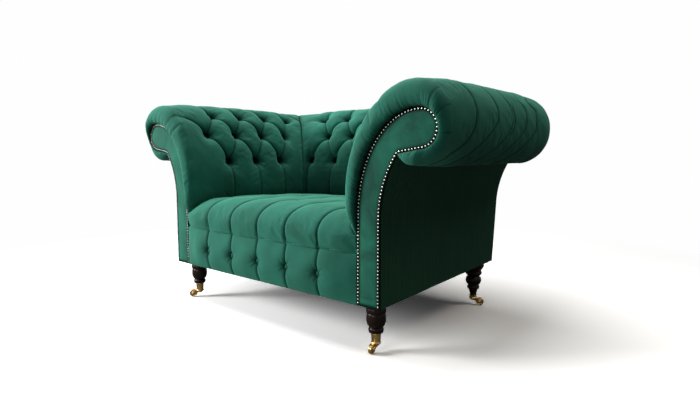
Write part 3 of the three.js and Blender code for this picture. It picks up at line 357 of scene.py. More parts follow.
def unevenness(points, size, seed):
    """A smooth, repeatable waviness between about -1 and 1, whose waves are near the size given."""
    random = np.random.default_rng(seed)
    total = np.zeros(points.shape[:-1])
    for _ in range(9):
        way = random.normal(size=3)
        way *= 2 * np.pi / np.linalg.norm(way) / (size * random.uniform(0.6, 1.7))
        total += np.sin(points @ way + random.uniform(0, 2 * np.pi))
    return total / 3


def quilting(low, middle, high, extra):
    """Buttons as (run, height), and the pleats between them as lines of such points."""
    rows_of_buttons = [(low, height_a), (middle, height_b), (high, height_c)]
    buttons = [(run, height) for runs, height in rows_of_buttons for run in runs]
    pleats = [[(run, -60), (run, height_a)] for run in low] + extra
    for runs, height in (rows_of_buttons[0], rows_of_buttons[2]):
        pleats += [
            [(m, height_b), (r, height)] for m in middle for r in runs if abs(m - r) < pitch_between * 0.51]
    return buttons, pleats


def quarter(share):
    """A quarter of an ellipse, from 0 up to 1."""
    return np.sqrt(1 - (1 - np.clip(share, 0, 1)) ** 2 + 1e-9)


def pillows(run, height, buttons, pleats, seed):
    """How full the padding is (1 on a crown, 0 in a pleat), how deep drawn in, its painted shade, and whether
    held.
    """
    pleat_reach, pleat_depth, crown_reach, crown_depth = 26.0, 7.0, 60.0, 10.0
    pit_reach, pit_depth, hole_reach, fold_depth = 24.0, 34.0, 18.5, 0.7
    full, crown = np.ones_like(run), np.ones_like(run)
    painted_darkness, pit, hole, folds = (np.zeros_like(run) for _ in range(4))
    on_arm = run.min() > 0
    # Pleats outside the lattice of buttons are narrow tucks in nearly flat padding.
    below = np.clip((height_a - height) / 90.0, 0, 1)
    above = np.clip((height - height_c) / 110.0, 0, 1)
    within = (1 - below) * (1 - above)
    for line in pleats:
        away = np.full_like(run, 1000.0)
        for (run_0, height_0), (run_1, height_1) in zip(line, line[1:]):
            a, b = run_1 - run_0, height_1 - height_0
            held = np.clip(((run - run_0) * a + (height - height_0) * b) / (a * a + b * b), 0, 1)
            away = np.minimum(away, np.hypot(run - run_0 - a * held, height - height_0 - b * held))
        full *= quarter(away / (pleat_reach - 8.0 * below - 14.0 * above))
        crown *= quarter(away / crown_reach)
        # Painted shade along the pleat, which also marks where the cover is held.
        painted_darkness = np.maximum(painted_darkness, (0.7 + 0.2 * above) * np.exp(-away / (3.0 - 0.6 * above)))
    drawn = (pleat_depth - 1.5 * below - 3.2 * above) * (1 - full) + crown_depth * within * (1 - crown)
    if on_arm:
        drawn *= np.clip((run - 20.0) / 50.0, 0.25, 1)
    random = np.random.default_rng(seed)
    for at_run, at_height in buttons:
        away = np.hypot(run - at_run, height - at_height)
        around = np.arctan2(height - at_height, run - at_run)
        pit = np.maximum(pit, np.exp(-(away / pit_reach) ** 1.5))
        hole = np.maximum(hole, np.minimum(1, 1.5 * np.exp(-(away / hole_reach) ** 2)))
        ripple = np.sin(9 * around + random.uniform(0, 6)) + 0.6 * np.sin(14 * around + random.uniform(0, 6))
        folds += fold_depth * np.exp(-((away - 26.0) / 12.0) ** 2) * ripple
    # The lower part, down between seat and padding, gets painted shade, and on the arms so does the cloth under
    # the roll.
    if on_arm:
        inward = np.clip((run - 50.0) / 110.0, 0, 1)
        shaded = 0.7 * inward * np.clip(1 - (height - 30.0) / 210.0, 0, 1) ** 1.3
        shaded += 0.6 * inward * np.clip((height - height_top - 165.0) / 130.0, 0, 1)
    else:
        shaded = 0.9 * np.clip(1 - (height - 30.0) / 330.0, 0, 1) ** 0.9
    fixed = (hole > 0.9) | (painted_darkness > 0.3)
    depth = drawn + pit_depth * pit + folds - 3.0 * crown * within
    # The painted shade returned is the darkest of the pleats', the pits' and the foot's.
    return full, depth, np.maximum(np.maximum(painted_darkness, hole), shaded), fixed


def surface_normals(points):
    """The way out at each point of a grid, and the way up along it."""
    up, along = np.gradient(points, axis=0), np.gradient(points, axis=1)
    normal = np.cross(up, along)
    return normal / np.maximum(np.linalg.norm(normal, axis=-1, keepdims=True), 1e-9), up


ease_in = 54.0  # over which the padding's upper, lower and border edges come to their full depth


def drawn_skin(place, run, quilt, seed, front_pull):
    """The buttoned surface: each point of the plain shape goes in along its normal, and crowns sag a little.

    The front pull is how much deeper the padding lies at its first line than 130 mm behind it."""
    level = padding_levels(rows)
    points, past = place(level, run, seam_gap)
    normal, up = surface_normals(place(level, run)[0])
    up /= np.maximum(np.linalg.norm(up, axis=-1, keepdims=True), 1e-9)
    run_grid, height_grid = np.meshgrid(run, heights)
    full, depth, painted_darkness, fixed = pillows(run_grid, height_grid, *quilt, seed)
    fixed[:3] = fixed[-3:] = fixed[:, -2:] = True
    edge = np.clip(np.minimum(height_grid, height_end - height_grid) / ease_in, 0, 1)
    waves = unevenness(points, 85.0, seed) + unevenness(points, 26.0, seed + 1) * 0.2
    pulled = front_pull * (1 - np.clip((run_grid - 20.0) / 130.0, 0, 1)) ** 2
    depth = (depth + pulled - waves * full) * edge
    sagging = 8.0 * full * edge * np.clip((height_top + 40.0 - height_grid) / 120.0, 0, 1)
    near_top = np.clip((points[..., 2] - roll_bottom) / (roll_top - roll_bottom), 0, 1)
    skin = points - normal * depth[..., None] - up * sagging[..., None]
    skin[..., 2] -= 10.0 * (past * past * (3 - 2 * past)) * near_top
    return skin, normal, depth, painted_darkness * edge, fixed


def zipped(one, other):
    """Triangles between two lines of point numbers that start and end together."""
    faces, i, j = [], 0, 0
    while i < len(one) - 1 or j < len(other) - 1:
        if j == len(other) - 1 or (i < len(one) - 1 and (i + 1) * (len(other) - 1) <= (j + 1) * (len(one) - 1)):
            faces.append((one[i + 1], one[i], other[j]))
            i += 1
        else:
            faces.append((other[j], other[j + 1], one[i]))
            j += 1
    return faces


def grid_triangles(numbers, valleys):
    """Two triangles for each square. The edge that they share follows the valley."""
    a, b, c, d = numbers[:-1, :-1], numbers[:-1, 1:], numbers[1:, 1:], numbers[1:, :-1]
    along = (valleys[:-1, :-1] + valleys[1:, 1:]) >= (valleys[:-1, 1:] + valleys[1:, :-1])
    first = np.where(along[..., None], np.stack([a, b, c], -1), np.stack([a, b, d], -1))
    second = np.where(along[..., None], np.stack([a, c, d], -1), np.stack([b, c, d], -1))
    return np.concatenate([first.reshape(-1, 3), second.reshape(-1, 3)])


def closed_pad(front, hidden, valleys):
    """A closed form from a fine front sheet and a plain hidden sheet, given as grids of points."""
    front_numbers = np.arange(front[..., 0].size).reshape(front.shape[:2])
    hidden_numbers = front_numbers.size + np.arange(hidden[..., 0].size).reshape(hidden.shape[:2])
    flat = grid_triangles(hidden_numbers, np.zeros(hidden.shape[:2]))[:, ::-1]
    faces = [grid_triangles(front_numbers, valleys), flat]
    for side in (lambda n: n[0], lambda n: n[:, -1], lambda n: n[-1, ::-1], lambda n: n[::-1, 0]):
        faces.append(np.array(zipped(list(side(front_numbers)), list(side(hidden_numbers)))))
    return np.concatenate([front.reshape(-1, 3), hidden.reshape(-1, 3)]), np.concatenate(faces)


def outward(points, faces):
    """The triangles of a closed form, all facing out."""
    a, b, c = (points[faces[:, k]] for k in range(3))
    return faces if np.einsum("ij,ij->i", a, np.cross(b, c)).sum() > 0 else faces[:, ::-1]


def marked(mesh, name, values):
    """Gives each point of a mesh a number that its material reads."""
    mesh.attributes.new(name, "FLOAT", "POINT").data.foreach_set("value", np.asarray(values, np.float32))


def make_piece(name, points, faces, material, body="chair", shade=None):
    """A piece from points in millimetres measured from the facings' plane, with its triangles facing out."""
    mesh = bpy.data.meshes.new(name)
    mesh.from_pydata(((points + [0, facing_y, 0]) * METRE).tolist(), [], outward(points, faces).tolist())
    mesh.shade_smooth()
    if shade is not None:
        marked(mesh, "painted_shade", shade)
    mesh.materials.append(material)
    made = added(name, mesh)
    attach(made, body)
    return made


def padded_piece(name, front, hidden, valleys, painted_darkness, sign=1):
    """A piece of padding in velvet, whose hidden sheet gets no painted shade. The sign -1 mirrors it."""
    points, faces = closed_pad(front, hidden, valleys)
    shade = np.concatenate([painted_darkness.ravel(), np.zeros(hidden[..., 0].size)])
    return make_piece(name, points * [sign, 1, 1], faces, velvet, shade=shade)


def settled(piece, fixed, ease, farthest, moments=10):
    """Lets the filling swell its cover: a cloth simulation, held where the cover is fixed, then applied."""
    count = len(piece.data.vertices)
    held = np.concatenate([fixed.ravel(), np.ones(count - fixed.size, bool)])
    group = piece.vertex_groups.new(name="held")
    group.add(np.nonzero(held)[0].tolist(), 1.0, "REPLACE")
    cover = piece.modifiers.new("cover", "CLOTH")
    for setting, value in {
        "quality": 3, "mass": 0.3, "tension_stiffness": 20.0, "compression_stiffness": 20.0,
        "shear_stiffness": 8.0, "bending_stiffness": 0.4, "use_pressure": True, "uniform_pressure_force": 4.0,
        "shrink_min": -ease, "vertex_group_mass": "held",
    }.items():
        setattr(cover.settings, setting, value)
    cover.settings.effector_weights.gravity = 0.0
    cover.point_cache.frame_start, cover.point_cache.frame_end = 1, moments
    for moment in range(1, moments + 1):
        bpy.context.scene.frame_set(moment)
    before, after = np.zeros(count * 3, np.float32), np.zeros(count * 3, np.float32)
    piece.data.vertices.foreach_get("co", before)
    evaluated = piece.evaluated_get(bpy.context.evaluated_depsgraph_get())
    evaluated.data.vertices.foreach_get("co", after)
    before, after = before.reshape(-1, 3), after.reshape(-1, 3)
    moved = after - before
    length = np.linalg.norm(moved, axis=1, keepdims=True)
    moved *= np.minimum(1, farthest * METRE / np.maximum(length, 1e-9))
    piece.modifiers.remove(cover)
    piece.vertex_groups.clear()
    bpy.context.scene.frame_set(1)
    piece.data.vertices.foreach_set("co", (before + moved).ravel())
    piece.data.update()


# Cotton velvet has a short dense pile that looks dark from straight on and light where it is seen edge on. In the
# tucks and pits, low down and under the roll it gets painted shade, near black. Brushed one way and the other,
# it shows soft lighter and darker patches.
def mixed(tree, factor, low, high):
    """A colour between two, each an sRGB hex value or an output."""
    low, high = (linear(colour) if isinstance(colour, str) else colour for colour in (low, high))
    return add_node(tree, "ShaderNodeMix", {0: factor, 6: low, 7: high}, data_type="RGBA").outputs[2]


def brushed_velvet(name, patches, reach, low, high):
    """Green velvet whose pile lies one way and the other, in patches so many to the metre."""
    made, tree, place = new_material(name)
    # Painted shade, a number on each point of the mesh.
    painted_shade = add_node(tree, "ShaderNodeAttribute", attribute_name="painted_shade").outputs["Fac"]
    lay = noise(tree, place, patches, 4.0, Roughness=0.6, Distortion=0.6)
    pile_colour = mixed(tree, ranged(tree, lay, 0.0, 1.0, 0.5 - reach, 0.5 + reach), low, high)
    edge_on = add_node(tree, "ShaderNodeLayerWeight", {"Blend": 0.28}).outputs["Facing"]
    raised = mixed(tree, edge_on, pile_colour, "#46947e")
    # The pile's tips stand 0.5 mm apart; they are drawn 2 mm apart, as fine as the render can show.
    tips = noise(tree, place, 500.0, 2.0)
    # Where painted shade lies, the colour goes to near black and the gloss and sheen go away.
    surfaced(tree, {
        "Base Color": mixed(tree, painted_shade, raised, "#020f0c"), "Roughness": 0.8, "IOR": 1.45,
        "Specular IOR Level": ranged(tree, painted_shade, 0.2, 0.02), "Sheen Weight": ranged(tree, painted_shade, 0.16, 0.0),
        "Sheen Roughness": 0.35, "Sheen Tint": linear("#6fc2a8"), "Normal": bumped(tree, tips, 0.25, 0.0006),
    })
    return made


velvet = brushed_velvet("cotton_velvet_green", 6.0, 0.2, "#0a4437", "#135f4e")

arm_runs = evenly(20, 34, 117, across_lattice * 6, turn_y, across_lattice * 2, arm_mitre)
# Over the roll the pleats sweep forward. The last two are the corner's seam, and a pleat out to the border.
arm_pleats = [
    [(187, height_c), (157, 545), (127, 621), (135, 684), (130, 729),
     (116, 773), (93, 812), (61, 849), (45, 960)],
    [(327, height_c), (292, 555), (260, 641), (265, 701), (254, 747),
     (211, 784), (165, 824), (120, 880), (100, 960)],
    [(467, height_c), (406, 560), (352, 650), (365, 696), (363, 742),
     (333, 778), (282, 827), (222, 890), (195, 960)],
    [(379, 700), (377, 744), (368, 762), (344, 784)],
    [(607, height_c), (520, 575), (456, 660), (472, 696), (461, 741),
     (446, 767), (386, 816), (320, 880), (290, 960)],
    [(arm_mitre, height_c), (600, 575), (533, 666), (549, 697), (540, 763), (477, 815), (405, 890), (380, 960)],
    [(arm_mitre, -60), (arm_mitre, height_end)],
    [(117, height_b), (66, height_b + 62), (0, height_b + 98)],
]
arm_quilt = quilting([187, 327, 467], [117, 257, 397, 537], [187, 327, 467, 607], arm_pleats)
border_depth, pull_depth, nail_depth = 34.5, 2.4, 4.0
core = core_levels(rows)
nail_line = np.stack([core["out"][:, 0], np.full(len(rows), nail_depth), core["z"][:, 0]], -1)
along = np.stack([heights, 0 * heights, 0 * heights], -1)
border_tucks = sum(np.exp(-((heights - at) / 5.0) ** 2) for at in (height_b + 98, 652, 710, 786, 396))
hidden_rows = np.unique(np.concatenate([[0, 1], np.linspace(1, 4, 25)]))
arm_hidden, _ = arm_place(core_levels(hidden_rows), evenly(6.6, 30, turn_y, 12, arm_mitre), seam_gap)


def pits_of(buttons, runs, skin, normal, sign=1):
    """The bottom of each button's pit and the way out of it."""
    places = [(np.abs(heights - height).argmin(), np.abs(runs - run).argmin()) for run, height in buttons]
    return [(skin[i, j] * [sign, 1, 1], normal[i, j] * [sign, 1, 1]) for i, j in places]


arm_pits = {}
for side, sign, seed in (("left", -1, 11), ("right", 1, 23)):
    skin, normal, depth, painted_darkness, fixed = drawn_skin(arm_place, arm_runs, arm_quilt, seed, 11.0)
    # The border wraps forward from the first line of the padding to the nails, fullest half way.
    start = skin[:, 0]
    fullness = np.minimum(1, np.hypot(start[:, 0] - nail_line[:, 0], start[:, 2] - nail_line[:, 2]) / ease_in)
    pulls = unevenness(along, 9.0, seed + 2)
    border, border_shade = [], []
    for angle in np.linspace(np.pi, 0, 25)[:-1]:
        share = (1 - np.cos(angle)) / 2
        near_nails = share ** 3
        line = start + (nail_line - start) * share
        line[:, 1] -= fullness * np.sin(angle) ** 0.7 * (border_depth - 1.6 * border_tucks * np.cos(angle / 2))
        line[:, 1] -= fullness * pulls * near_nails * np.sin(angle) * pull_depth
        border.append(line)
        # Painted shade: dark close to the nails, in the hollows of the pulls and along the tucks.
        border_shade.append(np.maximum(
            0.85 * near_nails ** 6 + 0.3 * near_nails * np.clip(-pulls, 0, 1),
            0.55 * border_tucks ** 4 * np.cos(angle / 2)))
    border, border_shade = np.stack(border, 1), np.stack(border_shade, 1)
    pad = padded_piece(
        f"arm_pad_{side}", np.concatenate([border, skin], 1), arm_hidden,
        np.concatenate([0 * border_shade, depth], 1), np.concatenate([border_shade, painted_darkness], 1), sign)
    at_nails = np.zeros(border.shape[:2], bool)
    at_nails[:, :3] = at_nails[:3] = at_nails[-3:] = True
    settled(pad, np.concatenate([at_nails, fixed], 1), 0.008, 4.0)
    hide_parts(f"inside_arm_{side}")
    arm_pits[side] = pits_of(arm_quilt[0], arm_runs, skin, normal, sign)

# ---- Padding of the back
# The same buttoned velvet, in one piece between the two corners, where it meets the arms in a deep tuck.
back_runs = evenly(
    -back_mitre, across_lattice, -back_turn, across_lattice * 10, back_turn, across_lattice, back_mitre)
back_high = [-350, -210, -70, 70, 210, 350]
back_pleats = [[(run, height_c), (run, height_end)] for run in back_high]
back_pleats += [[(run, -60), (run, height_end)] for run in (-back_mitre, back_mitre)]
back_quilt = quilting(back_high, [-280, -140, 0, 140, 280], back_high, back_pleats)
skin, normal, depth, painted_darkness, fixed = (
    part[:, ::-1] for part in drawn_skin(back_place, back_runs[::-1], back_quilt, 37, 0.0))
fixed[:, :2] = True
hidden, _ = back_place(
    core_levels(hidden_rows), evenly(-back_mitre, 8, -back_turn, 30, back_turn, 8, back_mitre), seam_gap)
pad = padded_piece("back_pad", skin, hidden, depth, painted_darkness)
settled(pad, fixed, 0.008, 4.0)
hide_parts("inside_back")
back_pits = pits_of(back_quilt[0], back_runs, skin, normal)

# ---- Seat
# A fixed sprung seat in the same velvet. Five pleats run from front to back, so that the padding between them
# stands in soft channels, and its front edge is a full roll that overhangs the border below.
border_top, seat_round, outer_pleat = 296.0, 42.0, 2 * pitch_between
seat_low, foremost, seat_top = border_top + soft_gap, 340.0, 416.0
overhang, roll_end = 18.0, 90.0


def foot_thickness(z):
    """How far the foot of the padding of arms and back stands in over the seat at a height."""
    share_up = np.clip((z - wall_foot) / (wall_low - wall_foot), 0, 1)
    return soft_gap + np.where(z < wall_foot, 0.0, 8.0) + 46.0 * (1 - (1 - share_up) ** 3.0)


seat_back_y = back_inner - float(foot_thickness(np.array(396.0)))
seat_corner_y = seat_back_y - seat_round


def channels(x):
    """How far the pleats and the ends draw the padding in, and the painted shade along the pleats."""
    away = np.abs(x - np.clip(np.round(x / pitch_between), -2, 2) * pitch_between)
    across = np.abs(np.sin(np.pi * np.clip(x, -outer_pleat, outer_pleat) / pitch_between))
    across = np.where(np.abs(x) > outer_pleat, np.clip((np.abs(x) - outer_pleat) / 70.0, 0, 1), across)
    return 5.0 * (1 - quarter(away / 15.0)) + 3.0 * (1 - across), 0.9 * np.exp(-away / 2.4)


def seat_half_width(z, y):
    """How far out the seat reaches between the arms at a height, and less where its rear corners are rounded."""
    past = np.clip(y - seat_corner_y, 0, seat_round)
    return arm_inner - foot_thickness(z) - (seat_round - np.sqrt(seat_round ** 2 - past ** 2))


under = np.linspace(0, np.pi / 2, 12)[:-1]
roll = np.linspace(0, np.pi / 2, 48)
corner_y = seat_corner_y + seat_round * np.sin(np.linspace(0, np.pi / 2, 14)[1:])
flat_y = np.concatenate([evenly(roll_end, 110, seat_corner_y)[1:], corner_y])
under_z = seat_low + (foremost - seat_low) * under * 2 / np.pi
flat_z = seat_top - 20.0 * ((flat_y - roll_end) / (seat_back_y - roll_end)) ** 2
# Each point of the profile is y, z and the way out in y and z.
profile = np.concatenate([
    np.stack([-10.0 - 8.0 * np.sin(under) ** 0.9, under_z, 0 * under - 1, 0 * under], -1),
    np.stack([(roll_end + overhang) * (1 - np.cos(roll)) - overhang,
              foremost + (seat_top - foremost) * np.sin(roll), -np.cos(roll), np.sin(roll)], -1),
    np.stack([flat_y, flat_z, 0 * flat_y, 0 * flat_y + 1], -1),
])
inner_x = evenly(-outer_pleat, 176, outer_pleat)
end_share = np.linspace(0, 1, 19)[1:]
half_widths = seat_half_width(profile[:, 1] - 14.0 * profile[:, 3], profile[:, 0])[:, None]
ends = outer_pleat + (half_widths - outer_pleat) * end_share[None, :]
x = np.concatenate([-ends[:, ::-1], np.repeat(inner_x[None], len(profile), 0), ends], 1)
y, z, ny, nz = (profile[:, k][:, None] + 0 * x for k in range(4))
groove, painted_darkness = channels(x)
plain_points = np.stack([x, y, z], -1)
waves = unevenness(plain_points, 110.0, 51) * 1.4 + unevenness(plain_points, 34.0, 52) * 0.25
from_end = half_widths - np.abs(x)
rim = np.clip(from_end / 12.0, 0, 1)
low_edge = np.clip((z - 290.0) / 20.0, 0, 1)
round_end = 1 - np.sin(np.clip(from_end / 90.0, 0, 1) * np.pi / 2) ** 1.2
depth = groove * low_edge + 14.0 * nz * (np.abs(x) / half_widths) ** 4 - waves * rim * low_edge
front = np.stack([x, y - (depth + 17.0 * round_end) * ny, z - depth * nz], -1)
seat_side = float(seat_half_width(np.array(402.0), np.array(0.0)))
hidden = np.array([
    [(side * w, y_at, seat_low) for side in (-1, 1)]
    for y_at, w in [(6.0, arm_inner - soft_gap), (108.0, seat_side), (seat_corner_y, seat_side),
                    (seat_back_y, seat_side - seat_round)]
])
# Painted shade along the pleats.
seat = padded_piece("seat_pad", front, hidden, groove, painted_darkness * low_edge)
fixed = (painted_darkness * low_edge > 0.3) | (low_edge < 0.3) | (from_end < 3.0) | (y > seat_back_y - 6.0)
settled(seat, fixed, 0.002, 3.5)
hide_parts("seat")

# ---- Front border
# A padded band of the same velvet below the seat, pulled in by the five pleats and by a button on each.
border_half, button_height = arm_inner - soft_gap, 220.0
border_z = evenly(base_low, 24, button_height, 26, border_top)
end_x = outer_pleat + (border_half - outer_pleat) * np.linspace(0, 1, 37)[1:]
border_x = np.concatenate([-end_x[::-1], inner_x, end_x])
x, z = np.meshgrid(border_x, border_z)
rise = (z - base_low) / (border_top - base_low)
swell = np.sin(np.pi * np.clip(rise, 0, 1)) ** 0.6
bulge = np.where(rise > 0.5, 10.0 + 14.0 * swell ** 1.6, 24.0 * swell)
bulge *= np.sin(np.clip((border_half - np.abs(x)) / 130.0, 0, 1) * np.pi / 2)
groove, painted_darkness = channels(x)
nearest = np.clip(np.round(x / pitch_between) * pitch_between, -outer_pleat, outer_pleat)
away = np.hypot(x - nearest, z - button_height)
around = np.arctan2(z - button_height, x - nearest)
pit = np.exp(-(away / 15.0) ** 1.2)
ripple = np.sin(8 * around + nearest) + 0.6 * np.sin(13 * around + 2 * nearest)
folds = 0.6 * np.exp(-((away - 20.0) / 11.0) ** 2) * ripple
waves = unevenness(np.stack([x, 0 * x, z], -1), 80.0, 61) * 1.2
share_deep = np.minimum(1, bulge / 8.0)
depth = (groove + folds - waves) * share_deep + 15.0 * pit
front = np.stack([x, np.minimum(0, depth - bulge), z], -1)
hidden = np.array([[(side * border_half, 6.0, z_at) for side in (-1, 1)] for z_at in (base_low, border_top)])
# Painted shade along the pleats and in the button pits.
dark = np.maximum(painted_darkness * share_deep, np.minimum(1, 1.2 * pit ** 1.2))
band = padded_piece("front_border_pad", front, hidden, groove + 15.0 * pit, dark)
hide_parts("front_border")
button_row = front[np.abs(border_z - button_height).argmin()]
border_pits = [
    (button_row[np.abs(border_x - at).argmin()], np.array([0.0, -1.0, 0.0]))
    for at in (-280, -140, 0, 140, 280)
]

# ---- Covered buttons
# Metal shells covered with a disc of the same velvet and drawn down into the pits by twine. Each is a low dome
# 21 mm across whose edge sinks into the padding.
def ring_quads(rings, sides, closed=False):
    """Squares between rings of points, each ring numbered on from the one before."""
    quads = []
    for r in range(rings if closed else rings - 1):
        a, b = r * sides, (r + 1) % rings * sides
        quads += [(a + k, a + (k + 1) % sides, b + (k + 1) % sides, b + k) for k in range(sides)]
    return np.array(quads)


def halved(quads):
    """Two triangles for each square."""
    return np.concatenate([quads[:, [0, 1, 2]], quads[:, [0, 2, 3]]])


def closed_rings(rings, start, stop):
    """A closed form over rings of points, one after the other, and the middle points of its two ends."""
    points = np.concatenate([*rings, [start, stop]])
    sides = len(rings[0])
    first_end = len(points) - 2
    k = np.arange(sides)
    n, last = (k + 1) % sides, first_end - sides
    ends = [np.stack([0 * k + first_end, n, k], -1), np.stack([last + k, last + n, 0 * k + first_end + 1], -1)]
    return points, np.concatenate([halved(ring_quads(len(rings), sides)), *ends])


def circles(profile, sides):
    """A ring of points round the upright axis for each (radius, height)."""
    angles = np.arange(sides) * 2 * np.pi / sides
    return [np.stack([r * np.cos(angles), r * np.sin(angles), h + 0 * angles], -1) for r, h in profile]


def spun(profile, sides):
    """A closed turned shape from (radius, height) pairs that start and end on the axis, bottom first."""
    return closed_rings(circles(profile[1:-1], sides), (0, 0, profile[0][1]), (0, 0, profile[-1][1]))


def scattered(name, places, shape, material, seed, tilt):
    """One mesh of a small shape repeated at places, each a point and the way that its top faces."""
    points, faces = shape
    mesh = bpy.data.meshes.new("one_" + name)
    mesh.from_pydata((points * METRE).tolist(), [], faces.tolist())
    mesh.shade_smooth()
    one = bpy.data.objects.new("one_" + name, mesh)
    seeds = bpy.data.meshes.new(name)
    seeds.from_pydata([tuple((np.asarray(p) + [0, facing_y, 0]) * METRE) for p, _ in places], [], [])
    facing = seeds.attributes.new("facing", "FLOAT_VECTOR", "POINT")
    facing.data.foreach_set("vector", np.array([n for _, n in places], np.float32).ravel())
    carrier = added(name + "_places", seeds)
    tree = bpy.data.node_groups.new(name + "_tree", "GeometryNodeTree")
    for socket, way, kind in (("Places", "INPUT", "Geometry"), ("Shape", "INPUT", "Object"),
                              ("Tilt", "INPUT", "Float"), ("Geometry", "OUTPUT", "Geometry")):
        tree.interface.new_socket(socket, in_out=way, socket_type="NodeSocket" + kind)
    given = add_node(tree, "NodeGroupInput").outputs
    shape_in = add_node(tree, "GeometryNodeObjectInfo", {"Object": given["Shape"]}).outputs["Geometry"]
    normal = add_node(tree, "GeometryNodeInputNamedAttribute", {"Name": "facing"}, data_type="FLOAT_VECTOR")
    low = add_node(tree, "ShaderNodeMath", {0: given["Tilt"], 1: -1.0}, operation="MULTIPLY").outputs[0]
    lowest, highest = (
        add_node(tree, "ShaderNodeCombineXYZ", {0: lean_by, 1: lean_by, 2: lean_by}).outputs[0]
        for lean_by in (low, given["Tilt"]))
    chance = add_node(tree, "FunctionNodeRandomValue", {
        0: lowest, 1: highest, "Seed": seed}, data_type="FLOAT_VECTOR")
    leant = add_node(tree, "ShaderNodeVectorMath", {
        0: normal.outputs[0], 1: chance.outputs[0]}, operation="ADD")
    turned_to = add_node(tree, "FunctionNodeAlignRotationToVector", {"Vector": leant.outputs[0]}, axis="Z")
    placed = add_node(tree, "GeometryNodeInstanceOnPoints", {
        "Points": given["Places"], "Instance": shape_in, "Rotation": turned_to.outputs["Rotation"],
    })
    real = add_node(tree, "GeometryNodeRealizeInstances", {"Geometry": placed.outputs["Instances"]})
    painted = add_node(tree, "GeometryNodeSetMaterial", {"Geometry": real.outputs[0], "Material": material})
    add_node(tree, "NodeGroupOutput", {"Geometry": painted.outputs[0]})
    modifier = carrier.modifiers.new(name + "_tree", "NODES")
    modifier.node_group = tree
    sockets = {item.name: item.identifier for item in tree.interface.items_tree if item.in_out == "INPUT"}
    modifier[sockets["Shape"]] = one
    modifier[sockets["Tilt"]] = tilt
    bpy.context.view_layer.update()
    evaluated = carrier.evaluated_get(bpy.context.evaluated_depsgraph_get())
    plain_mesh = bpy.data.meshes.new_from_object(evaluated)
    plain_mesh.shade_smooth()
    bpy.data.objects.remove(carrier)
    bpy.data.objects.remove(one)
    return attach(added(name, plain_mesh), "chair")


button_profile = [
    (0.0, -3.0), (9.2, -2.6), (10.5, -0.8), (10.1, 1.4), (8.6, 3.7), (6.2, 5.6), (3.2, 6.7), (0.0, 7.0)]
button_shape = spun(button_profile, 20)
button_lift = 3.0
# The buttons' velvet gets painted shade: down in the pits of arms and back as dark as the tucks round them, and a
# little on the front border.
for name, pits, seed, dark in [
    ("buttons_arm_left", arm_pits["left"], 3, 0.75), ("buttons_arm_right", arm_pits["right"], 4, 0.75),
    ("buttons_back", back_pits, 5, 0.75), ("buttons_front_border", border_pits, 6, 0.25),
]:
    buttons = scattered(name, [(p + n * button_lift, n) for p, n in pits], button_shape, velvet, seed, 0.09)
    marked(buttons.data, "painted_shade", np.full(len(buttons.data.vertices), dark))

# ---- Arm facings
# Scroll-shaped boards with a thin layer of wadding, covered in smooth velvet that is pulled over the edges and
# tacked behind, so that the edges are softly rounded.
facing_stations = np.concatenate([evenly(0, 6, 1), evenly(1, 36, 2)[1:], evenly(2, 48, 3)[1:]])


def facing_line(inset):
    """The facing's outline as (x, z), up its inner edge, round the scroll and down its outer edge."""
    level = core_levels(facing_stations, -inset)
    scroll = np.stack([level["out"][:, 0], level["z"][:, 0]], -1)
    tip_z, low_z = scroll_underside + inset, base_low + inset
    back_home = np.linspace(scroll[-1], [float(flare_out(tip_z)) - inset, tip_z], 13)[1:]
    down = np.concatenate([np.linspace(tip_z, flare_low, 30)[1:], np.linspace(flare_low, low_z, 16)[1:]])
    outer = np.stack([flare_out(down) - inset, down], -1)
    up = np.linspace([arm_inner + inset, low_z], [arm_inner + inset, wall_foot], 14)[:-1]
    return np.concatenate([up, scroll, back_home, outer])


facing_velvet = brushed_velvet("cotton_velvet_green_on_facing", 9.0, 0.14, "#07382c", "#176651")
# From the back edge round to the front: how far in from the outline, how far back, and how much painted shade,
# darkest at the edge and round the nails.
facing_rings = [
    (0.4, 6.0, 0.9), (0.0, 5.4, 0.9), (0.0, 2.2, 0.9), (0.5, 0.9, 0.9), (1.5, 0.15, 0.9), (3.0, -0.1, 0.9),
    (7.4, -0.1, 0.85), (9.5, -0.3, 0.45), (16.0, -1.2, 0.1),
]
for side, sign in (("left", -1), ("right", 1)):
    lines = [(facing_line(inset), y_at) for inset, y_at, _ in facing_rings]
    count = len(lines[0][0])
    points = np.concatenate([
        np.stack([x_z[:, 0] * sign, np.full(count, y_at), x_z[:, 1]], -1) for x_z, y_at in lines])
    mesh = bpy.data.meshes.new(f"facing_{side}")
    built = bmesh.new()
    verts = [built.verts.new((p + [0, facing_y, 0]) * METRE) for p in points]
    for corners in ring_quads(len(lines), count):
        built.faces.new([verts[k] for k in corners])
    for cap in (range(count), range(len(verts) - count, len(verts))):
        flat = [Vector((points[k][0], points[k][2], 0)) for k in cap]
        for corners in tessellate_polygon([flat]):
            built.faces.new([verts[cap[k]] for k in corners])
    bmesh.ops.recalc_face_normals(built, faces=built.faces)
    built.to_mesh(mesh)
    built.free()
    mesh.shade_smooth()
    marked(mesh, "painted_shade", np.repeat([dark for _, _, dark in facing_rings], count))
    mesh.materials.append(facing_velvet)
    facing = added(f"facing_{side}", mesh)
    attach(facing, "chair")
    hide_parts(f"arm_facing_{side}")

# ---- Nails
# Antique pewter dome nails, driven edge to edge all round each facing. They hold the cover of the border and of
# the outside panel. Cast heads, bright on the crown and near black round the rim.
pewter, tree, place = new_material("antique_pewter_cast")
tarnish = noise(tree, place, 320.0, 3.0)
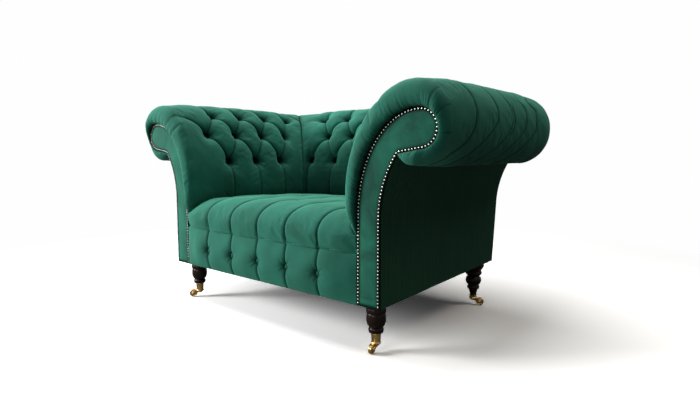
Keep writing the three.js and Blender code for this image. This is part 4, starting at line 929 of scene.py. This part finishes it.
# From 1 on the crown, in the metal's colour, to 0 round the rim, near black.
bright_crown = add_node(tree, "ShaderNodeAttribute", attribute_name="bright_crown").outputs["Fac"]
surfaced(tree, {
    "Base Color": mixed(tree, bright_crown, "#191816", two_tone(tree, tarnish, "#9b978f", "#dad6ce")),
    "Metallic": 1.0, "Roughness": ranged(tree, tarnish, 0.3, 0.45),
})
nail_profile = [
    (0.0, -0.7), (4.1, -0.7), (4.5, -0.3), (3.9, 0.5), (2.9, 1.25), (2.1, 1.75), (1.2, 2.1), (0.0, 2.2)]
nail_shape = spun(nail_profile, 12)
crown = np.interp(np.hypot(nail_shape[0][:, 0], nail_shape[0][:, 1]), [1.9, 2.7], [1.0, 0.0])
nail_inset, nail_pitch = 4.0, 10.2
line = facing_line(nail_inset)
lengths = np.concatenate([[0], np.cumsum(np.hypot(*np.diff(line, axis=0).T))])
nail_count = int(round(lengths[-1] / nail_pitch))
stops = (np.arange(nail_count) + 0.5) * lengths[-1] / nail_count
nail_x, nail_z = np.interp(stops, lengths, line[:, 0]), np.interp(stops, lengths, line[:, 1])
for side, sign, seed in (("left", -1, 7), ("right", 1, 8)):
    places = [((sign * a, -0.5, b), (0.0, -1.0, 0.0)) for a, b in zip(nail_x, nail_z)]
    nails = scattered(f"nails_{side}", places, nail_shape, pewter, seed, 0.12)
    marked(nails.data, "bright_crown", np.tile(crown, nail_count))
    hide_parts(f"nail_strip_{side}")

# ---- Outside panels
# Card and thin wadding, covered in flat velvet whose pile runs down, coloured duller and darker than the
# padding's velvet as painted shade. The arm panels flare out under the roll, the back panel leans, and their
# upright edges are blind tacked and softly rounded.
outside_velvet_painted_shade, tree, place = new_material("cotton_velvet_green_laid_flat_painted_shade")
weave = noise(tree, place, 1.0, 2.0, (160, 160, 6))
both = add_node(tree, "ShaderNodeMath", {0: weave, 1: noise(tree, place, 3.0, 2.0)}, operation="ADD").outputs[0]
# Pile colours duller and darker than the padding's, as painted shade.
pile_colour = mixed(tree, ranged(tree, both, 0.0, 1.0, 0.7, 1.3), "#1c392a", "#2a523c")
edge_on = add_node(tree, "ShaderNodeLayerWeight", {"Blend": 0.3}).outputs["Facing"]
surfaced(tree, {
    "Base Color": mixed(tree, edge_on, pile_colour, "#1f5142"), "Roughness": 0.85, "IOR": 1.45,
    "Specular IOR Level": 0.15, "Sheen Weight": 0.1, "Sheen Roughness": 0.4, "Sheen Tint": linear("#7fc4ae"),
    "Normal": bumped(tree, weave, 0.3, 0.0008),
})


def base_bottom(y_at):
    """Height of the base's lower edge, which rises towards the back."""
    return base_low + 25.0 * y_at / base_depth


def panel(name, outer, thickness_way, node):
    """A thin closed panel from a grid of outer points and the way in to its other face, in millimetres."""
    height_steps, length_steps = (np.minimum(np.arange(n), np.arange(n)[::-1]) for n in outer.shape[:2])
    rise = np.minimum(height_steps[:, None], length_steps[None, :])
    sink = np.where(rise == 0, 0.45, np.where(rise == 1, 0.12, 0.0))
    soft = unevenness(outer, 160.0, 71) * 0.5 * np.clip(rise / 4.0, 0, 1)
    front = outer + thickness_way * (sink - soft / thickness)[..., None]
    points, faces = closed_pad(front, outer + thickness_way, np.zeros(outer.shape[:2]))
    made = make_piece(name, points, faces, outside_velvet_painted_shade)
    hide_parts(node)


panel_top, thickness, low_y = 571.5, 3.0, 6.3
share_up = np.concatenate([[0, 0.006], np.linspace(0.02, 0.98, 50), [0.994, 1]])
share_along = np.concatenate([[0, 0.003], np.linspace(0.012, 0.988, 60), [0.997, 1]])
level_z = 160.0 + (panel_top - 160.0) * share_up[:, None]
bottom = base_bottom(low_y + (lean_y(level_z) - 3.3 - low_y) * share_along)
grid_z = bottom + (panel_top - bottom) * share_up[:, None]
grid_y = low_y + (lean_y(grid_z) - 3.3 - low_y) * share_along
for side, sign in (("left", -1), ("right", 1)):
    outer = np.stack([flare_out(grid_z) * sign, grid_y, grid_z], -1)
    panel(f"outside_arm_panel_{side}", outer, np.array([-thickness * sign, 0, 0]), f"outside_arm_{side}")
u, v = np.meshgrid(np.linspace(-1, 1, 61), share_up)
grid_z = lean_low + (panel_top - lean_low) * v
outer = np.stack([u * flare_out(grid_z), lean_y(grid_z), grid_z], -1)
panel("outside_back_panel", outer, np.array([0, -thickness, 0]), "outside_back")

# ---- Dust cover
# Black non-woven cloth, stapled under the rails and cut away round the legs. The CAD solid has its shape.
dust_cloth, tree, place = new_material("black_nonwoven_polypropylene")
bonded = add_node(tree, "ShaderNodeTexVoronoi", {"Vector": place, "Scale": 300.0}).outputs["Distance"]
surfaced(tree, {
    "Base Color": two_tone(tree, bonded, "#1b1d1e", "#34383a"), "Roughness": 0.9,
    "Normal": bumped(tree, bonded, 0.4, 0.0004),
})
give(dust_cloth, "dust_cover")

# ---- Legs
# Turned hardwood, stained nearly black and lacquered to a gloss. The front legs are a barrel over a ring, and
# the rear ones a flared block over beads.
lacquer, tree, place = new_material("turned_hardwood_dark_stain_gloss_lacquer")
grain = noise(tree, place, 1.0, 4.0, (120, 120, 9))
surfaced(tree, {
    "Base Color": two_tone(tree, grain, "#0c0503", "#24120b"), "Roughness": ranged(tree, grain, 0.22, 0.34),
    "IOR": 1.5, "Specular IOR Level": 0.18, "Coat Weight": 0.15, "Coat Roughness": 0.04,
})

# Each profile is radius and height as shares of the bulb's. A third number marks a crisp line.
bulb_radius, bulb_height = 29.5, 97.0
front_leg = [
    (0.369, 0.302, 1), (0.43, 0.46, 0), (0.481, 0.586, 1), (0.66, 0.594, 0), (0.735, 0.61, 0), (0.768, 0.649, 0),
    (0.775, 0.686, 0), (0.763, 0.722, 0), (0.70, 0.752, 0), (0.661, 0.766, 1), (0.70, 0.776, 1), (0.847, 0.825, 0),
    (0.95, 0.9, 0), (1, 1, 0), (0.985, 1.113, 0), (0.945, 1.18, 0), (0.915, 1.2, 1), (0.985, 1.222, 0),
    (1.017, 1.27, 0), (1.017, 1.309, 0), (0.985, 1.36, 0), (0.952, 1.378, 1), (0.956, 1.46, 0), (0.949, 1.53, 1),
]
rear_leg = [
    (0.349, 0.302, 1), (0.349, 0.405, 1), (0.407, 0.409, 1), (0.47, 0.52, 0), (0.559, 0.619, 1), (0.66, 0.632, 0),
    (0.75, 0.67, 0), (0.79, 0.711, 0), (0.76, 0.755, 0), (0.712, 0.778, 1), (0.705, 0.8, 0), (0.712, 0.825, 1),
    (0.83, 0.855, 0), (0.95, 0.92, 0), (1, 1, 0), (0.95, 1.075, 0), (0.82, 1.14, 0), (0.695, 1.172, 1),
    (0.76, 1.18, 1), (0.93, 1.215, 0), (1.045, 1.28, 0), (1.04, 1.325, 0), (0.949, 1.361, 1), (0.96, 1.375, 1),
    (1.06, 1.44, 0), (1.22, 1.515, 0), (1.3, 1.567, 1), (1.305, 1.757, 1),
]


def softened(profile, steps):
    """A smooth run through the profile's points, broken at the crisp ones."""
    result = []
    crisp = [i for i, p in enumerate(profile) if p[2]]
    for start, stop in zip(crisp, crisp[1:]):
        part = np.array([p[:2] for p in profile[start:stop + 1]], float)
        if len(part) == 2:
            result += [tuple(part[0])]
            continue
        padded_part = np.concatenate([[2 * part[0] - part[1]], part, [2 * part[-1] - part[-2]]])
        for k in range(1, len(part)):
            p0, p1, p2, p3 = padded_part[k - 1:k + 3]
            for t in np.arange(steps) / steps:
                result.append(tuple(0.5 * (
                    2 * p1 + (p2 - p0) * t + (2 * p0 - 5 * p1 + 4 * p2 - p3) * t ** 2
                    + (3 * p1 - p0 - 3 * p2 + p3) * t ** 3)))
    result.append(tuple(profile[-1][:2]))
    return result


def stand_at(points, corner_x, corner_y, turn=0.0):
    """Moves points from round a leg's own axis to its corner, turned as its castor is."""
    c, s = np.cos(np.radians(turn)), np.sin(np.radians(turn))
    moved = np.array(points, float)
    moved[:, :2] = moved[:, :2] @ np.array([[c, s], [-s, c]])
    return moved + [corner_x, corner_y, 0]


def crisp_edges(piece, degrees):
    """Smooth shading that breaks where two faces meet at more than this angle."""
    piece.data.shade_smooth()
    built = bmesh.new()
    built.from_mesh(piece.data)
    for edge in built.edges:
        edge.smooth = bool(edge.calc_face_angle(0.0) < np.radians(degrees))
    built.to_mesh(piece.data)
    built.free()


# Where each leg stands, its profile, and the way that its castor points, in degrees.
leg_places = {
    "front_left": (-451.0, 60.0, front_leg, -130.5), "front_right": (451.0, 60.0, front_leg, -80.8),
    "rear_left": (-451.0, 678.0, rear_leg, 120.0), "rear_right": (451.0, 678.0, rear_leg, 12.8),
}
tenon, bolt_hole, bolt_depth = 21.0, 4.4, 44.3
for corner, (leg_x, leg_y, shares, turn) in leg_places.items():
    top = base_bottom(leg_y) + 2.0
    outline = [(radius * bulb_radius, height * bulb_height) for radius, height in softened(shares, 6)]
    outline = [
        (0.0, outline[0][1]), *outline, (tenon, outline[-1][1] + 0.3), (tenon, top), (bolt_hole, top),
        (bolt_hole, top - bolt_depth), (0.0, top - bolt_depth)]
    points, faces = spun(outline, 64)
    leg = make_piece(f"turned_leg_{corner}", stand_at(points, leg_x, leg_y), faces, lacquer)
    crisp_edges(leg, 28)
    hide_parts(f"leg_{corner}")

# ---- Castors
# Cast and turned brass, polished and lightly aged: a tapered cup pinned to the leg's foot, a horn that swivels
# on a stud in its floor, and a wheel on a riveted steel axle.
brass, tree, place = new_material("cast_brass_polished")
aged = noise(tree, place, 90.0, 3.0)
surfaced(tree, {
    "Base Color": two_tone(tree, aged, "#c99f55", "#f0d195", (0.3, 0.7)), "Metallic": 1.0,
    "Roughness": ranged(tree, aged, 0.14, 0.32),
})

# The sections of the cups go once round a ring, as (radius, height). Wheel and axle are halves of such lines,
# as (radius, place on the axle), and each is the same the other way.
front_cup = [
    (3.4, 24.5), (13.2, 24.5), (14.5, 24.9), (15.0, 26.0), (15.0, 27.6), (14.4, 28.6), (13.6, 29.2), (13.3, 30.4),
    (13.6, 36.0), (14.8, 52.0), (15.2, 54.6), (16.0, 55.3), (16.1, 56.2), (15.6, 57.0), (14.6, 57.0), (11.2, 29.0),
    (3.4, 29.0),
]
rear_cup = [
    (3.4, 24.5), (13.4, 24.5), (14.6, 24.9), (14.9, 26.0), (14.9, 27.4), (14.3, 28.6), (13.5, 29.2), (13.2, 30.4),
    (13.2, 36.8), (13.6, 37.6), (13.5, 38.6), (13.0, 39.0), (10.6, 39.0), (10.6, 29.0), (3.4, 29.0),
]
half_wheel = [
    (2.3, -5.5), (4.2, -5.5), (4.9, -4.9), (5.4, -4.3), (11.4, -4.1), (12.6, -4.9), (13.4, -5.4), (14.3, -5.1),
    (14.85, -4.1), (15.0, -2.4),
]
half_axle = [(0.0, -9.3), (1.6, -9.2), (2.4, -8.8), (2.0, -8.5)]
wheel_section, axle_profile = (
    half + [(radius, -along) for radius, along in half[::-1]] for half in (half_wheel, half_axle))
crown_profile = [
    (0.0, 19.2), (6.0, 19.2), (9.6, 19.6), (10.5, 20.6), (10.5, 22.8), (9.9, 24.1), (3.0, 24.1), (3.0, 28.6),
    (0.0, 28.6)]
trail, wheel_radius = 26.0, 15.0


def ring_turned(section, sides):
    """A turned ring from a closed section that never touches the axis."""
    return np.concatenate(circles(section, sides)), halved(ring_quads(len(section), sides, closed=True))


def on_axle(shape):
    """Turns a shape from round the upright axis to round the wheel's axle."""
    points, faces = shape
    return np.stack([points[:, 0] + trail, -points[:, 2], points[:, 1] + wheel_radius], -1), faces


def cheek(inner, outer):
    """One cheek of the horn: a smooth flat arm from the crown down to the axle, with rounded edges."""
    shares = [(-0.27, 1.3), (-0.27, 1.6), (0.35, 1.6), (0.85, 1.43), (1.19, 1.13), (1.24, 0.88), (1.13, 0.68),
              (0.95, 0.64), (0.81, 0.75), (0.6, 1.02), (0.23, 1.3)]
    line = [(a * trail, b * wheel_radius, int(k < 3)) for k, (a, b) in enumerate(shares)]
    smooth = np.array(softened([*line, (*line[0][:2], 1)], 5)[:-1])
    middle = smooth.mean(0)
    rings = []
    for share, y_at in ((0.93, inner), (1.0, inner + 0.5), (1.0, outer - 0.5), (0.93, outer)):
        x_at, z_at = (middle + (smooth - middle) * share).T
        rings.append(np.stack([x_at, np.full(len(x_at), y_at), z_at], -1))
    return closed_rings(rings, (middle[0], inner, middle[1]), (middle[0], outer, middle[1]))


def joined(*shapes):
    """Several closed shapes as one, each facing out."""
    starts = np.cumsum([0, *[len(points) for points, _ in shapes[:-1]]])
    faces = [outward(*shape) + start for shape, start in zip(shapes, starts)]
    return np.concatenate([points for points, _ in shapes]), np.concatenate(faces)


cheek_points, cheek_faces = cheek(5.9, 8.5)
horn_shape = joined(
    spun(crown_profile, 40), (cheek_points, cheek_faces), (cheek_points * [1, -1, 1], cheek_faces))
axle_shape, wheel_shape = on_axle(spun(axle_profile, 16)), on_axle(ring_turned(wheel_section, 48))
for corner, (leg_x, leg_y, _, turn) in leg_places.items():
    cup_shape = ring_turned(front_cup if corner.startswith("front") else rear_cup, 48)
    for what, (points, faces), turned, metal, body, crisp_angle, slot in [
        ("cup", cup_shape, 0.0, brass, "chair", 40, "castor_brass"),
        ("horn", horn_shape, turn, brass, f"swivel_{corner}", 40, "castor_brass"),
        ("axle", axle_shape, turn, zinc, f"swivel_{corner}", 180, "steel"),
        ("wheel", wheel_shape, turn, brass, f"wheel_{corner}", 50, "castor_brass"),
    ]:
        piece = make_piece(f"{what}_{corner}", stand_at(points, leg_x, leg_y, turned), faces, metal, body)
        crisp_edges(piece, crisp_angle)
        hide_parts(f"castor_{what}_{corner}")
